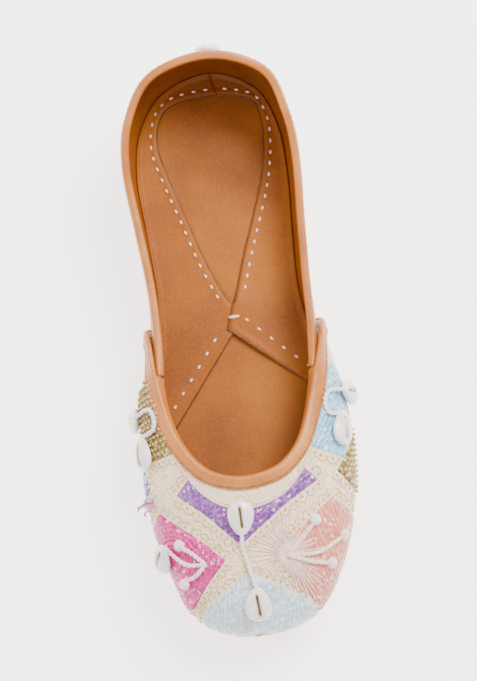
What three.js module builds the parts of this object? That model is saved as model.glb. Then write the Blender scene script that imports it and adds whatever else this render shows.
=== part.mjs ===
// A flat embroidered leather slip-on with a low open collar, the traditional slipper of Punjab.
// Millimetres, +Z up, toe towards -Y, heel towards +Y. The slipper stands on its sole at z = 0.
import * as THREE from "three";
import { mergeVertices } from "three/addons/utils/BufferGeometryUtils.js";

// Driving sizes of the last
const length = 250; // overall, toe to heel
const ballWidth = 90; // overall, across the ball
const heelHeight = 49; // collar above the sole at the back of the heel
const sideHeight = 25; // collar above the sole at the waist, its lowest stretch
const instepHeight = 34.5; // collar above the sole at the throat

// Sole stack
const outsoleThickness = 2.4;
const boardThickness = 4.8; // the tan leather board between outsole and upper
const liftThickness = 2.7; // thin heel lift
const toeSpring = 9; // height of the outsole under the tip of the toe
const springLength = 62; // from the tip back to where the outsole meets the floor
const tapLength = 88; // thicker forefoot of the outsole, from the tip back
const tapStep = 0.8; // how much thicker
const shankRamp = 46; // length of the rise from the tap to the heel seat
const heelSeat = 62; // length of the flat heel seat and of the lift
const soleMargin = 2; // sole beyond the foot of the upper, room for the vamp
const tapRamp = 4; // length of the step behind the tap
const outsoleBevel = 0.6; // how far the lower edges of outsole, board and lift stand in
const boardBevel = 0.2;
const liftBevel = 0.8;

// Leather and cloth
const wall = 1.6; // quarter and lining together
const vampThickness = 1;
const bindingThickness = 0.7;
const bindingWidth = 5;
const insoleThickness = 1.6;
const flapThickness = 1.0;
const gap = 0.3; // between pieces

// Wings of the vamp, which stand off the quarter at the sides
const wingStandOff = 2;
const wingLiftShare = 0.7; // share of the rib over which they lift off

// Cowrie shells
const shellLength = 15;
const shellWidth = 11;
const shellHeight = 5;
const shellTaper = 0.5; // how much narrower the narrow end is than the middle

// The last, one row for each rib from the back of the heel (first) to the tip of the toe (last).
// along and left/right of foot and rim are shares of length and ballWidth. climb says how far the rim has
// climbed from sideHeight to heelHeight or instepHeight. Of the rib's two handles, lean and swell push them
// outwards, as shares of ballWidth, and rise and drop are their heights, as shares of the rib's. reach
// carries the upper one from the rim towards the foot, as a share of the distance in plan.
const sections = [
  {
    foot: { along: 0.49, left: -0.022, right: -0.022 },
    rim: { along: 0.479, left: -0.022, right: -0.022 },
    climb: { heel: 1, instep: 0 },
    handles: { lean: 0.03, rise: 0.34, reach: 0.1, swell: 0.035, drop: 0.36 },
  },
  {
    foot: { along: 0.457, left: -0.265, right: 0.203 },
    rim: { along: 0.451, left: -0.3, right: 0.235 },
    climb: { heel: 0.86, instep: 0 },
    handles: { lean: 0.03, rise: 0.34, reach: 0.1, swell: 0.03, drop: 0.36 },
  },
  {
    foot: { along: 0.388, left: -0.388, right: 0.303 },
    rim: { along: 0.382, left: -0.427, right: 0.333 },
    climb: { heel: 0.46, instep: 0 },
    handles: { lean: 0.028, rise: 0.34, reach: 0.1, swell: 0.018, drop: 0.36 },
  },
  {
    foot: { along: 0.304, left: -0.417, right: 0.335 },
    rim: { along: 0.304, left: -0.452, right: 0.37 },
    climb: { heel: 0.19, instep: 0 },
    handles: { lean: 0.025, rise: 0.34, reach: 0.1, swell: 0.01, drop: 0.36 },
  },
  {
    foot: { along: 0.2, left: -0.383, right: 0.34 },
    rim: { along: 0.2, left: -0.412, right: 0.374 },
    climb: { heel: 0.06, instep: 0 },
    handles: { lean: 0.022, rise: 0.34, reach: 0.1, swell: 0.006, drop: 0.36 },
  },
  {
    foot: { along: 0.096, left: -0.352, right: 0.352 },
    rim: { along: 0.1, left: -0.37, right: 0.38 },
    climb: { heel: 0, instep: 0 },
    handles: { lean: 0.022, rise: 0.36, reach: 0.1, swell: 0.006, drop: 0.34 },
  },
  {
    foot: { along: 0, left: -0.36, right: 0.415 },
    rim: { along: 0.012, left: -0.352, right: 0.387 },
    climb: { heel: 0, instep: 0.03 },
    handles: { lean: 0.035, rise: 0.4, reach: 0.18, swell: 0.015, drop: 0.28 },
  },
  {
    foot: { along: -0.096, left: -0.407, right: 0.488 },
    rim: { along: -0.068, left: -0.347, right: 0.37 },
    climb: { heel: 0, instep: 0.2 },
    handles: { lean: 0.06, rise: 0.46, reach: 0.36, swell: 0.02, drop: 0.14 },
  },
  {
    foot: { along: -0.192, left: -0.42, right: 0.515 },
    rim: { along: -0.132, left: -0.314, right: 0.332 },
    climb: { heel: 0, instep: 0.47 },
    handles: { lean: 0.065, rise: 0.5, reach: 0.46, swell: 0.012, drop: 0.1 },
  },
  {
    foot: { along: -0.29, left: -0.394, right: 0.494 },
    rim: { along: -0.182, left: -0.25, right: 0.282 },
    climb: { heel: 0, instep: 0.74 },
    handles: { lean: 0.08, rise: 0.52, reach: 0.52, swell: 0.006, drop: 0.12 },
  },
  {
    foot: { along: -0.3825, left: -0.313, right: 0.421 },
    rim: { along: -0.217, left: -0.167, right: 0.198 },
    climb: { heel: 0, instep: 0.9 },
    handles: { lean: 0.095, rise: 0.52, reach: 0.54, swell: 0, drop: 0.18 },
  },
  {
    foot: { along: -0.4575, left: -0.206, right: 0.287 },
    rim: { along: -0.232, left: -0.079, right: 0.1 },
    climb: { heel: 0, instep: 0.98 },
    handles: { lean: 0.11, rise: 0.52, reach: 0.56, swell: 0, drop: 0.24 },
  },
  {
    foot: { along: -0.4852, left: 0.026, right: 0.026 },
    rim: { along: -0.2365, left: 0.006, right: 0.006 },
    climb: { heel: 0, instep: 1 },
    handles: { lean: 0.115, rise: 0.52, reach: 0.58, swell: 0, drop: 0.27 },
  },
];
const ribCount = 2 * (sections.length - 1); // ribs round the whole slipper
const aroundRow = (row) => row / ribCount; // a row of the table as a share of the way round, on the left
const around = 4 * ribCount; // columns of faces round the whole slipper

// Wing of the vamp, in rows of the table
const wingFootRow = 5.6; // its rear edge at the sole
const wingCornerRow = 6; // and at the collar
const wingCurve = 1.8; // how late the rear edge turns forward
const wingSlantRows = 2.5; // rows over which the slant of the rear edge dies out
const cornerRound = 0.6; // rows over which the corner is rounded
const cornerDrop = 0.12; // how far the rounded corner falls, as a share of the rib
const wingCloseRow = 7.9; // where the wing lies on the quarter again
const swapRow = 6.75; // where the quarter's binding ends under the vamp's, which goes on round both

const clamp01 = (x) => Math.min(1, Math.max(0, x));
const smooth = (x) => clamp01(x) ** 2 * (3 - 2 * clamp01(x));
const mix = (a, b, s) => a + (b - a) * s;

// Sole profile: heights along the slipper
const toeY = -length / 2;
const heelY = length / 2;
const springY = toeY + springLength;
const tapY = toeY + tapLength;
const seatY = heelY - heelSeat;
const seatRise = liftThickness + gap;
const liftEndRow = 3.5; // the lift's front edge, under the flat heel seat
const springAt = (y) => toeSpring * clamp01((springY - y) / springLength) ** 2;
const shankAt = (y) => {
  const climb = smooth((y - (seatY - shankRamp)) / shankRamp);
  return tapStep * smooth((y - tapY) / tapRamp) + (seatRise - tapStep) * climb;
};
const outsoleUnder = (y) => springAt(y) + shankAt(y);
const outsoleTop = (y) => springAt(y) + outsoleThickness + seatRise * smooth((y - tapY) / (seatY - tapY));
const boardUnder = (y) => outsoleTop(y) + gap;
const boardTop = (y) => boardUnder(y) + boardThickness;
const seat = (y) => boardTop(y) + gap; // where upper and insole stand

// Rails through the sections: the foot of the upper, its two handles and its rim
const up = new THREE.Vector3(0, 0, 1);
const rowPoint = (row, place, side, z) =>
  new THREE.Vector3(row[place][side] * ballWidth, row[place].along * length, z);

function loopOf(pointOf) {
  const left = sections.map((row) => pointOf(row, "left"));
  const right = sections
    .slice(1, -1)
    .reverse()
    .map((row) => pointOf(row, "right"));
  return new THREE.CatmullRomCurve3([...left, ...right], true, "catmullrom", 0.5);
}
const footRail = loopOf((row, side) => rowPoint(row, "foot", side, 0));
const rimZ = (row) =>
  seat(row.rim.along * length) +
  sideHeight +
  row.climb.heel * (heelHeight - sideHeight) +
  row.climb.instep * (instepHeight - sideHeight);
const rimRail = loopOf((row, side) => rowPoint(row, "rim", side, rimZ(row)));

// Outward direction in plan at a share t of the way round the foot rail
function outward(t) {
  const along = footRail.getTangent(t);
  return new THREE.Vector3(along.y, -along.x, 0).normalize();
}
const rowOutward = (row, side) => {
  const index = sections.indexOf(row);
  return outward(side === "left" ? index / ribCount : (ribCount - index) / ribCount);
};
const lowRail = loopOf((row, side) => {
  const foot = rowPoint(row, "foot", side, seat(row.foot.along * length));
  return foot
    .addScaledVector(rowOutward(row, side), row.handles.lean * ballWidth)
    .addScaledVector(up, row.handles.rise * (rimZ(row) - foot.z));
});
const highRail = loopOf((row, side) => {
  const rim = rowPoint(row, "rim", side, rimZ(row));
  const foot = rowPoint(row, "foot", side, seat(row.foot.along * length));
  const towards = new THREE.Vector3().subVectors(foot, rim).setZ(0);
  return rim
    .clone()
    .addScaledVector(towards, row.handles.reach)
    .addScaledVector(rowOutward(row, side), row.handles.swell * ballWidth)
    .addScaledVector(up, -row.handles.drop * (rim.z - foot.z));
});

// The last: a point of the quarter's outer face, t round the slipper and r from the foot (0) to the rim (1)
function lastPoint(t, r) {
  const turn = t - Math.floor(t);
  const foot = footRail.getPoint(turn);
  foot.z = seat(foot.y);
  const [low, high, rim] = [lowRail, highRail, rimRail].map((rail) => rail.getPoint(turn));
  return new THREE.CubicBezierCurve3(foot, low, high, rim).getPoint(r);
}
const probe = 1e-3;
const levelShare = 0.12; // the lowest share of each rib, over which a layer's way out turns level
function lastFrame(t, r) {
  const low = Math.max(0, r - probe);
  const high = Math.min(1, r + probe);
  const round = new THREE.Vector3()
    .subVectors(lastPoint(t + probe, r), lastPoint(t - probe, r))
    .divideScalar(2 * probe);
  const rise = new THREE.Vector3()
    .subVectors(lastPoint(t, high), lastPoint(t, low))
    .divideScalar(high - low);
  const normal = new THREE.Vector3().crossVectors(round, rise).normalize();
  return { round, rise, normal };
}
// A point off the last's face; at the foot it moves level with the sole, so every layer stands on it
function offLast(t, r, off) {
  const point = lastPoint(t, r);
  const { normal } = lastFrame(t, r);
  const level = smooth(1 - r / levelShare);
  const direction = normal.clone().lerp(outward(t - Math.floor(t)), level).normalize();
  point.addScaledVector(direction, off);
  if (level > 0) point.z = mix(point.z, seat(point.y) + (lastPoint(t, r).z - lastPoint(t, 0).z), level);
  return point;
}

// Collects quads and triangles of points into one closed geometry
const weld = 1e-3;
class Skin {
  constructor() {
    this.positions = [];
  }
  triangle(a, b, c) {
    if (a.distanceTo(b) < weld || b.distanceTo(c) < weld || c.distanceTo(a) < weld) return;
    for (const p of [a, b, c]) this.positions.push(p.x, p.y, p.z);
  }
  quad(a, b, c, d) {
    this.triangle(a, b, c);
    this.triangle(a, c, d);
  }
  // A side wall between two loops of points, the second further up
  band(low, high) {
    for (let i = 0; i < low.length; i++) {
      const n = (i + 1) % low.length;
      this.quad(low[i], low[n], high[n], high[i]);
    }
  }
  geometry() {
    const g = new THREE.BufferGeometry();
    g.setAttribute("position", new THREE.Float32BufferAttribute(this.positions, 3));
    return mergeVertices(g, weld);
  }
}

// A curved wall between two grids of points, grid[j][i] with i round the slipper and j upwards
function wallSolid(outer, inner, closed) {
  const skin = new Skin();
  const rows = outer.length - 1;
  const size = outer[0].length;
  const columns = closed ? size : size - 1;
  for (let j = 0; j < rows; j++)
    for (let i = 0; i < columns; i++) {
      const n = (i + 1) % size;
      skin.quad(outer[j][i], outer[j][n], outer[j + 1][n], outer[j + 1][i]);
      skin.quad(inner[j][n], inner[j][i], inner[j + 1][i], inner[j + 1][n]);
    }
  for (let i = 0; i < columns; i++) {
    const n = (i + 1) % size;
    skin.quad(inner[0][i], inner[0][n], outer[0][n], outer[0][i]);
    skin.quad(outer[rows][i], outer[rows][n], inner[rows][n], inner[rows][i]);
  }
  if (!closed)
    for (let j = 0; j < rows; j++) {
      skin.quad(inner[j][0], outer[j][0], outer[j + 1][0], inner[j + 1][0]);
      skin.quad(outer[j][columns], inner[j][columns], inner[j + 1][columns], outer[j + 1][columns]);
    }
  return skin.geometry();
}

// A bar swept through rings of equal size; capQuads lists the quads that close one section
function barSolid(rings, capQuads) {
  const skin = new Skin();
  for (let k = 0; k + 1 < rings.length; k++) skin.band(rings[k], rings[k + 1]);
  const first = rings[0];
  const last = rings[rings.length - 1];
  for (const [a, b, c, d] of capQuads) {
    skin.quad(first[d], first[c], first[b], first[a]);
    skin.quad(last[a], last[b], last[c], last[d]);
  }
  return skin.geometry();
}

// A plate on the plan of the foot rail, from the back of the heel to row endRow of the table. Its edge runs
// through the given levels, 0 at the underside and 1 at the top, each some way out from the foot rail.
const plateColumns = 3;
function plateSolid({ endRow, edge, under, top }) {
  const steps = Math.round((endRow / ribCount) * around);
  const gridAt = ({ level, out }) =>
    Array.from({ length: steps + 1 }, (_, k) => {
      const t = aroundRow(endRow) * (k / steps);
      const left = footRail.getPoint(t).addScaledVector(outward(t), out);
      const right = footRail.getPoint((1 - t) % 1).addScaledVector(outward((1 - t) % 1), out);
      return Array.from({ length: plateColumns + 1 }, (_, m) => {
        const p = new THREE.Vector3().lerpVectors(left, right, m / plateColumns);
        p.z = mix(under(p.y), top(p.y), level);
        return p;
      });
    });
  const grids = edge.map(gridAt);
  const rim = (grid) => [
    ...grid.map((row) => row[0]),
    ...grid[steps].slice(1, plateColumns),
    ...grid.map((row) => row[plateColumns]).reverse(),
  ];
  const skin = new Skin();
  for (let k = 0; k + 1 < grids.length; k++) skin.band(rim(grids[k]), rim(grids[k + 1]));
  const bottom = grids[0];
  const face = grids[grids.length - 1];
  for (let k = 0; k < steps; k++)
    for (let m = 0; m < plateColumns; m++) {
      skin.quad(face[k][m], face[k + 1][m], face[k + 1][m + 1], face[k][m + 1]);
      skin.quad(bottom[k][m + 1], bottom[k + 1][m + 1], bottom[k + 1][m], bottom[k][m]);
    }
  return skin.geometry();
}

const slipper = new THREE.Group();
function piece(name, geometry, { color, roughness }) {
  geometry.computeVertexNormals();
  const mesh = new THREE.Mesh(geometry, new THREE.MeshStandardMaterial({ color, roughness, metalness: 0 }));
  mesh.name = name;
  slipper.add(mesh);
}
const tanLeather = { color: 0xc98548, roughness: 0.55 };
const liningLeather = { color: 0xb4733c, roughness: 0.6 };
const coralSole = { color: 0xe08a78, roughness: 0.7 };
const creamCloth = { color: 0xf0e7d8, roughness: 0.85 };
const embroideredCloth = { color: 0xe6d8c2, roughness: 0.85 };
const shellWhite = { color: 0xf7f3ec, roughness: 0.3 };

// Outsole, board, heel lift and insole
const toeRow = ribCount / 2;
const edgeBulge = 0.9; // how far the edge of the board rounds out
piece(
  "outsole",
  plateSolid({
    endRow: toeRow,
    edge: [
      { level: 0, out: soleMargin - outsoleBevel },
      { level: 0.4, out: soleMargin },
      { level: 1, out: soleMargin },
    ],
    under: outsoleUnder,
    top: outsoleTop,
  }),
  coralSole,
);
piece(
  "board",
  plateSolid({
    endRow: toeRow,
    edge: [
      { level: 0, out: soleMargin - boardBevel },
      { level: 0.3, out: soleMargin + edgeBulge },
      { level: 0.75, out: soleMargin + edgeBulge },
      { level: 1, out: soleMargin },
    ],
    under: boardUnder,
    top: boardTop,
  }),
  tanLeather,
);
piece(
  "heel_lift",
  plateSolid({
    endRow: liftEndRow,
    edge: [
      { level: 0, out: soleMargin - liftBevel },
      { level: 0.4, out: soleMargin },
      { level: 1, out: soleMargin },
    ],
    under: () => 0,
    top: () => liftThickness,
  }),
  tanLeather,
);
const insoleTop = (y) => seat(y) + insoleThickness;
const insideWall = -(wall + gap);
piece(
  "insole",
  plateSolid({
    endRow: toeRow,
    edge: [
      { level: 0, out: insideWall },
      { level: 1, out: insideWall },
    ],
    under: seat,
    top: insoleTop,
  }),
  liningLeather,
);

// Upper: quarter, lining and toe in one hollow wall, open at the collar and underneath
const upperRows = 7;
const columnsRound = Array.from({ length: around }, (_, i) => i / around);
const wallGrid = (off) =>
  Array.from({ length: upperRows + 1 }, (_, j) => columnsRound.map((t) => offLast(t, j / upperRows, off)));
piece("upper", wallSolid(wallGrid(0), wallGrid(-wall), true), creamCloth);

// Vamp: the embroidered cover of the forefoot, with a wing at each side
const rowsFromWing = (t) => Math.min(t, 1 - t) * ribCount - wingCornerRow;
const wingLift = (t, r) =>
  wingStandOff * smooth(r / wingLiftShare) * smooth(1 - rowsFromWing(t) / (wingCloseRow - wingCornerRow));
const vampUnder = (t, r) => gap + wingLift(t, r);
const vampOver = (t, r) => vampUnder(t, r) + vampThickness;
// A place on the vamp: base is the column at the collar, v the height from sole (0) to edge (1)
function vampPlace(base, v) {
  const rows = rowsFromWing(base);
  const lean = ((wingCornerRow - wingFootRow) / ribCount) * (1 - v ** wingCurve);
  const slant = lean * smooth(1 - rows / wingSlantRows);
  const fromCorner = clamp01(rows / cornerRound);
  const top = 1 - cornerDrop * (1 - Math.sqrt(1 - (1 - fromCorner) ** 2));
  return { t: base + (base < 0.5 ? -slant : slant), r: v * top };
}
const vampColumns = columnsRound.filter(
  (t) => t > aroundRow(wingCornerRow) - weld && t < 1 - aroundRow(wingCornerRow) + weld,
);
const vampGrid = (off) =>
  Array.from({ length: upperRows + 1 }, (_, j) =>
    vampColumns.map((base) => {
      const { t, r } = vampPlace(base, j / upperRows);
      return offLast(t, r, off(t, r));
    }),
  );
piece("vamp", wallSolid(vampGrid(vampOver), vampGrid(vampUnder), false), embroideredCloth);

// Bindings: folded leather strips over the edges. A section runs from the outer shoulder down the outer leg
// and back, over the edge and down the inner leg.
const shoulderShare = 0.4; // how much of the strip's thickness the shoulder stands out
const foldShare = 0.25; // how far in from each face the fold is full, as a share of the section's depth
const bindingCap = [
  [0, 1, 4, 5],
  [1, 2, 3, 4],
  [13, 0, 5, 6],
  [12, 13, 6, 11],
  [6, 7, 10, 11],
  [7, 8, 9, 10],
];
function bindingRing({ t, r }, along, { outer, inner, innerLeg }) {
  const { round, rise, normal } = lastFrame(t, r);
  const into = new THREE.Vector3().crossVectors(along, normal).normalize(); // from the edge into the piece
  // The steps in t and r that make one millimetre of into
  const [rr, ri, ii] = [round.dot(round), round.dot(rise), rise.dot(rise)];
  const [dr, di] = [into.dot(round), into.dot(rise)];
  const det = rr * ii - ri * ri;
  const stepT = (dr * ii - di * ri) / det;
  const stepR = (di * rr - dr * ri) / det;
  const inward = (down, off, more) => {
    const [tAt, rAt] = [t + stepT * down, clamp01(r + stepR * down)];
    return offLast(tAt, rAt, off(tAt, rAt) + more);
  };
  const beyond = (over, off) => offLast(t, r, off).addScaledVector(into, -over);
  const face = outer(t, r) + gap + bindingThickness;
  const back = inner(t, r) - (innerLeg === undefined ? 0 : bindingThickness);
  const quarterWay = (face - back) * foldShare;
  const shoulder = gap + bindingThickness * shoulderShare;
  const leg = (down, off, more) =>
    down > 0 ? inward(down, off, more) : beyond(gap, off(t, r) + more);
  const half = bindingWidth / 2;
  const thickness = innerLeg === undefined ? 0 : bindingThickness;
  const innerEnd = innerLeg ?? 0;
  return [
    beyond(shoulder, face),
    inward(half, outer, gap + bindingThickness),
    inward(bindingWidth, outer, gap + bindingThickness),
    inward(bindingWidth, outer, gap),
    inward(half, outer, gap),
    beyond(gap, outer(t, r) + gap),
    beyond(gap, inner(t, r)),
    leg(innerEnd / 2, inner, 0),
    leg(innerEnd, inner, 0),
    leg(innerEnd, inner, -thickness),
    leg(innerEnd / 2, inner, -thickness),
    beyond(shoulder, back),
    beyond(gap + bindingThickness, back + quarterWay),
    beyond(gap + bindingThickness, face - quarterWay),
  ];
}
function bindingSolid(places, sectionOf) {
  const onEdge = places.map(({ t, r }) => offLast(t, r, 0));
  const rings = places.map((place, k) => {
    const before = onEdge[Math.max(0, k - 1)];
    const after = onEdge[Math.min(places.length - 1, k + 1)];
    return bindingRing(place, new THREE.Vector3().subVectors(after, before).normalize(), sectionOf(place));
  });
  return barSolid(rings, bindingCap);
}
const onQuarter = () => 0;
const insideBinding = () => insideWall;
const swapColumns = Math.round(aroundRow(swapRow) * around);
const quarterColumns = Array.from({ length: 2 * swapColumns + 1 }, (_, k) => k - swapColumns);
const quarterEdge = quarterColumns.map((column) => ({ t: column / around, r: 1 }));
const quarterSection = { outer: onQuarter, inner: insideBinding, innerLeg: bindingWidth };
piece("quarter_binding", bindingSolid(quarterEdge, () => quarterSection), tanLeather);

// Over the wings the vamp's binding has no inner leg, to clear the quarter's. Past swapRow it goes
// round both edges.
const crossStart = swapRow + 0.03; // rows over which its section changes
const crossEnd = swapRow + 0.1;
const fullLegRow = swapRow + ribCount / around;
const rowOf = (t) => Math.min(t, 1 - t) * ribCount;
function vampSection({ t, r }) {
  const row = rowOf(t);
  if (row < crossStart + weld) return { outer: vampOver, inner: vampUnder };
  return { outer: vampOver, inner: insideBinding, innerLeg: row < fullLegRow - weld ? 0 : bindingWidth };
}
const heights = Array.from({ length: upperRows }, (_, j) => j / upperRows);
const rearEdge = (base) => heights.map((v) => vampPlace(base, v));
const leftCorner = vampColumns[0];
const rightCorner = vampColumns[vampColumns.length - 1];
const crossings = [crossStart, crossEnd].flatMap((row) => [aroundRow(row), 1 - aroundRow(row)]);
const throatEdge = [...vampColumns, ...crossings].sort((a, b) => a - b).map((base) => vampPlace(base, 1));
const vampEdge = [...rearEdge(leftCorner), ...throatEdge, ...rearEdge(rightCorner).reverse()];
piece("vamp_binding", bindingSolid(vampEdge, vampSection), tanLeather);

// Lining flaps: turned in over the insole from both sides, sewn down and crossed at the waist. The window
// between them shows the insole. Its rows, from heel to crossing, are shares of length and ballWidth.
const windowRows = [
  { along: 0.446, left: 0.01, right: 0.01 },
  { along: 0.436, left: -0.19, right: 0.165 },
  { along: 0.41, left: -0.275, right: 0.208 },
  { along: 0.36, left: -0.297, right: 0.219 },
  { along: 0.3, left: -0.25, right: 0.2 },
  { along: 0.24, left: -0.19, right: 0.155 },
  { along: 0.16, left: -0.108, right: 0.088 },
  { along: 0.1, left: -0.03, right: 0.045 },
  { along: 0.078, left: 0.02, right: 0.02 },
];
const flapFrontRow = { left: 8, right: 7 }; // where the front edges reach the wall
const flapApex = { along: 0.037, left: 0.008, right: 0.036 }; // where the front edges meet
const wallSteps = 22;
const frontSteps = 5;
const flapStrips = 3; // strips of faces between wall and window
function flapSolid() {
  const windowRail = new THREE.CatmullRomCurve3(
    [
      ...windowRows.map((row) => new THREE.Vector3(row.left * ballWidth, row.along * length, 0)),
      ...windowRows
        .slice(1, -1)
        .reverse()
        .map((row) => new THREE.Vector3(row.right * ballWidth, row.along * length, 0)),
    ],
    true,
    "catmullrom",
    0.5,
  );
  const sideLoop = (side) => {
    const endRow = flapFrontRow[side];
    const alongWall = Array.from({ length: wallSteps + 1 }, (_, k) => {
      const row = (endRow * k) / wallSteps;
      const t = side === "left" ? aroundRow(row) : (1 - aroundRow(row)) % 1;
      return footRail.getPoint(t).addScaledVector(outward(t), insideWall);
    });
    const wallEnd = alongWall[wallSteps];
    const apex = new THREE.Vector3(flapApex[side] * ballWidth, flapApex.along * length, 0);
    const front = Array.from({ length: frontSteps }, (_, k) =>
      new THREE.Vector3().lerpVectors(wallEnd, apex, (k + 1) / frontSteps),
    );
    return [...alongWall, ...front];
  };
  const outerLoop = [...sideLoop("left"), ...sideLoop("right").reverse().slice(0, -1)];
  const windowShare = (k) => {
    const half = outerLoop.length / 2;
    const share = (0.5 * Math.min(k, outerLoop.length - k)) / half;
    return k <= half ? share : (1 - share) % 1;
  };
  const windowLoop = outerLoop.map((_, k) => windowRail.getPoint(windowShare(k)));
  const loops = Array.from({ length: flapStrips + 1 }, (_, m) =>
    outerLoop.map((p, k) => new THREE.Vector3().lerpVectors(p, windowLoop[k], m / flapStrips)),
  );
  const lay = (loop, lift) => loop.map((p) => new THREE.Vector3(p.x, p.y, insoleTop(p.y) + lift));
  const under = loops.map((loop) => lay(loop, gap));
  const top = loops.map((loop) => lay(loop, gap + flapThickness));
  const skin = new Skin();
  skin.band(under[0], top[0]);
  skin.band(top[flapStrips], under[flapStrips]);
  for (let m = 0; m < flapStrips; m++) {
    skin.band(top[m], top[m + 1]);
    skin.band(under[m + 1], under[m]);
  }
  return skin.geometry();
}
piece("lining_flaps", flapSolid(), liningLeather);

// Cowrie shells sewn to the vamp and the back of the heel. row and r are the place, turn is the way of the
// narrow end, in degrees from straight down the rib, and over is the layer that the shell lies on.
const shells = [
  { name: "shell_throat", side: "left", row: 11.86, r: 0.85, turn: 0, over: vampOver },
  { name: "shell_toe", side: "right", row: 11.9, r: 0.46, turn: 180, over: vampOver },
  { name: "shell_left_front", side: "left", row: 8.1, r: 0.52, turn: -115, over: vampOver },
  { name: "shell_left_rear", side: "left", row: 7.3, r: 0.3, turn: 170, over: vampOver },
  { name: "shell_left_toe", side: "left", row: 9.82, r: 0.31, turn: 180, over: vampOver },
  { name: "shell_right_front", side: "right", row: 7.9, r: 0.58, turn: 105, over: vampOver },
  { name: "shell_right_rear", side: "right", row: 7.1, r: 0.4, turn: 190, over: vampOver },
  { name: "shell_heel", side: "left", row: 0, r: 0.6, turn: 180, over: onQuarter },
];
const shellGeometry = () => {
  const egg = new THREE.SphereGeometry(0.5, 10, 6).rotateX(Math.PI / 2);
  const at = egg.attributes.position;
  for (let i = 0; i < at.count; i++) {
    const along = at.getX(i);
    const narrow = 1 - shellTaper * along;
    at.setXYZ(i, along * shellLength, at.getY(i) * shellWidth * narrow, at.getZ(i) * shellHeight * narrow);
  }
  egg.deleteAttribute("normal");
  egg.deleteAttribute("uv");
  return mergeVertices(egg, weld);
};
for (const { name, side, row, r, turn, over } of shells) {
  const t = side === "left" ? aroundRow(row) : 1 - aroundRow(row);
  const { rise, normal } = lastFrame(t, r);
  const ahead = rise.clone().negate().normalize().applyAxisAngle(normal, THREE.MathUtils.degToRad(turn));
  const across = new THREE.Vector3().crossVectors(normal, ahead);
  const seatPoint = offLast(t, r, over(t, r) + gap + shellHeight / 2);
  const place = new THREE.Matrix4().makeBasis(ahead, across, normal).setPosition(seatPoint);
  piece(name, shellGeometry().applyMatrix4(place), shellWhite);
}

// The origin is on the floor, under the middle of the slipper
const box = new THREE.Box3().setFromObject(slipper);
const middle = box.getCenter(new THREE.Vector3());
slipper.position.set(-middle.x, -middle.y, -box.min.z);

export default slipper;
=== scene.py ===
import math
import random

import bmesh
import bpy
from mathutils import Matrix, Quaternion, Vector


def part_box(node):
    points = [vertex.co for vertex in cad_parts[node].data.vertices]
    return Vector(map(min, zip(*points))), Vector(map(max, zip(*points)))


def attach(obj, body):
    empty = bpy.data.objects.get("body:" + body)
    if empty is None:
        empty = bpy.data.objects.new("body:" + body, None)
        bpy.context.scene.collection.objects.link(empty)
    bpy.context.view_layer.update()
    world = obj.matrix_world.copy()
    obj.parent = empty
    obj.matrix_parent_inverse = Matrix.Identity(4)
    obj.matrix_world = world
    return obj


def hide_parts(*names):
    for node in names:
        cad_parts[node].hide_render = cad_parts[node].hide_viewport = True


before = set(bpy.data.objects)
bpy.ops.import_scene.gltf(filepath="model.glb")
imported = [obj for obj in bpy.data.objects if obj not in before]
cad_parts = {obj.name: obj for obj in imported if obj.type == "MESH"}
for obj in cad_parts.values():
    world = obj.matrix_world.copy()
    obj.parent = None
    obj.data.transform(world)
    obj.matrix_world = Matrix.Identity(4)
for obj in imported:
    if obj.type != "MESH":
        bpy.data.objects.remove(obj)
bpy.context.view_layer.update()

# The camera stands over the toe and looks steeply down, at the photograph's height and roll.
# It keeps the photograph's distance and has a longer lens, so that one slipper fills the picture.
camera_distance = 1.3
camera_elevation = math.radians(82)
camera_roll = math.radians(-3.72)
picture_height = 681
pixels_per_metre = 2330
scene = bpy.context.scene
aim_height = 0.02
look_at = Vector((0, 0, aim_height))
camera_data = bpy.data.cameras.new("camera")
camera_data.lens = pixels_per_metre * camera_distance * camera_data.sensor_width / picture_height
camera = bpy.data.objects.new("camera", camera_data)
camera.rotation_mode = "QUATERNION"
tilt = Quaternion((1, 0, 0), math.pi / 2 - camera_elevation)
camera.rotation_quaternion = tilt @ Quaternion((0, 0, 1), camera_roll)
towards_camera = Vector((0, -math.cos(camera_elevation), math.sin(camera_elevation)))
camera.location = look_at + camera_distance * towards_camera
scene.collection.objects.link(camera)
scene.camera = camera

# Three soft boxes and a bright room: plain studio light that leaves only a faint shadow.
# The strongest stands behind the heel on the right, so the counter shades the heel seat a little.
room = bpy.data.worlds.new("room")
room.use_nodes = True
room.node_tree.nodes["Background"].inputs["Color"].default_value = (1.0, 0.99, 0.97, 1)
room.node_tree.nodes["Background"].inputs["Strength"].default_value = 0.66
scene.world = room
soft_boxes = {
    "soft_box_heel": ((0.62, 0.76, 1.28), 0.85, 57),
    "soft_box_toe": ((-0.5, -1.1, 1.3), 1.2, 16),
    "soft_box_left": ((-1.4, 0.3, 0.7), 0.8, 8),
}
for name, (place, size, watts) in soft_boxes.items():
    light = bpy.data.lights.new(name, "AREA")
    light.size = size
    light.energy = watts
    lamp = bpy.data.objects.new(name, light)
    lamp.location = place
    lamp.rotation_euler = (look_at - Vector(place)).to_track_quat("-Z", "Y").to_euler()
    scene.collection.objects.link(lamp)


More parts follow.
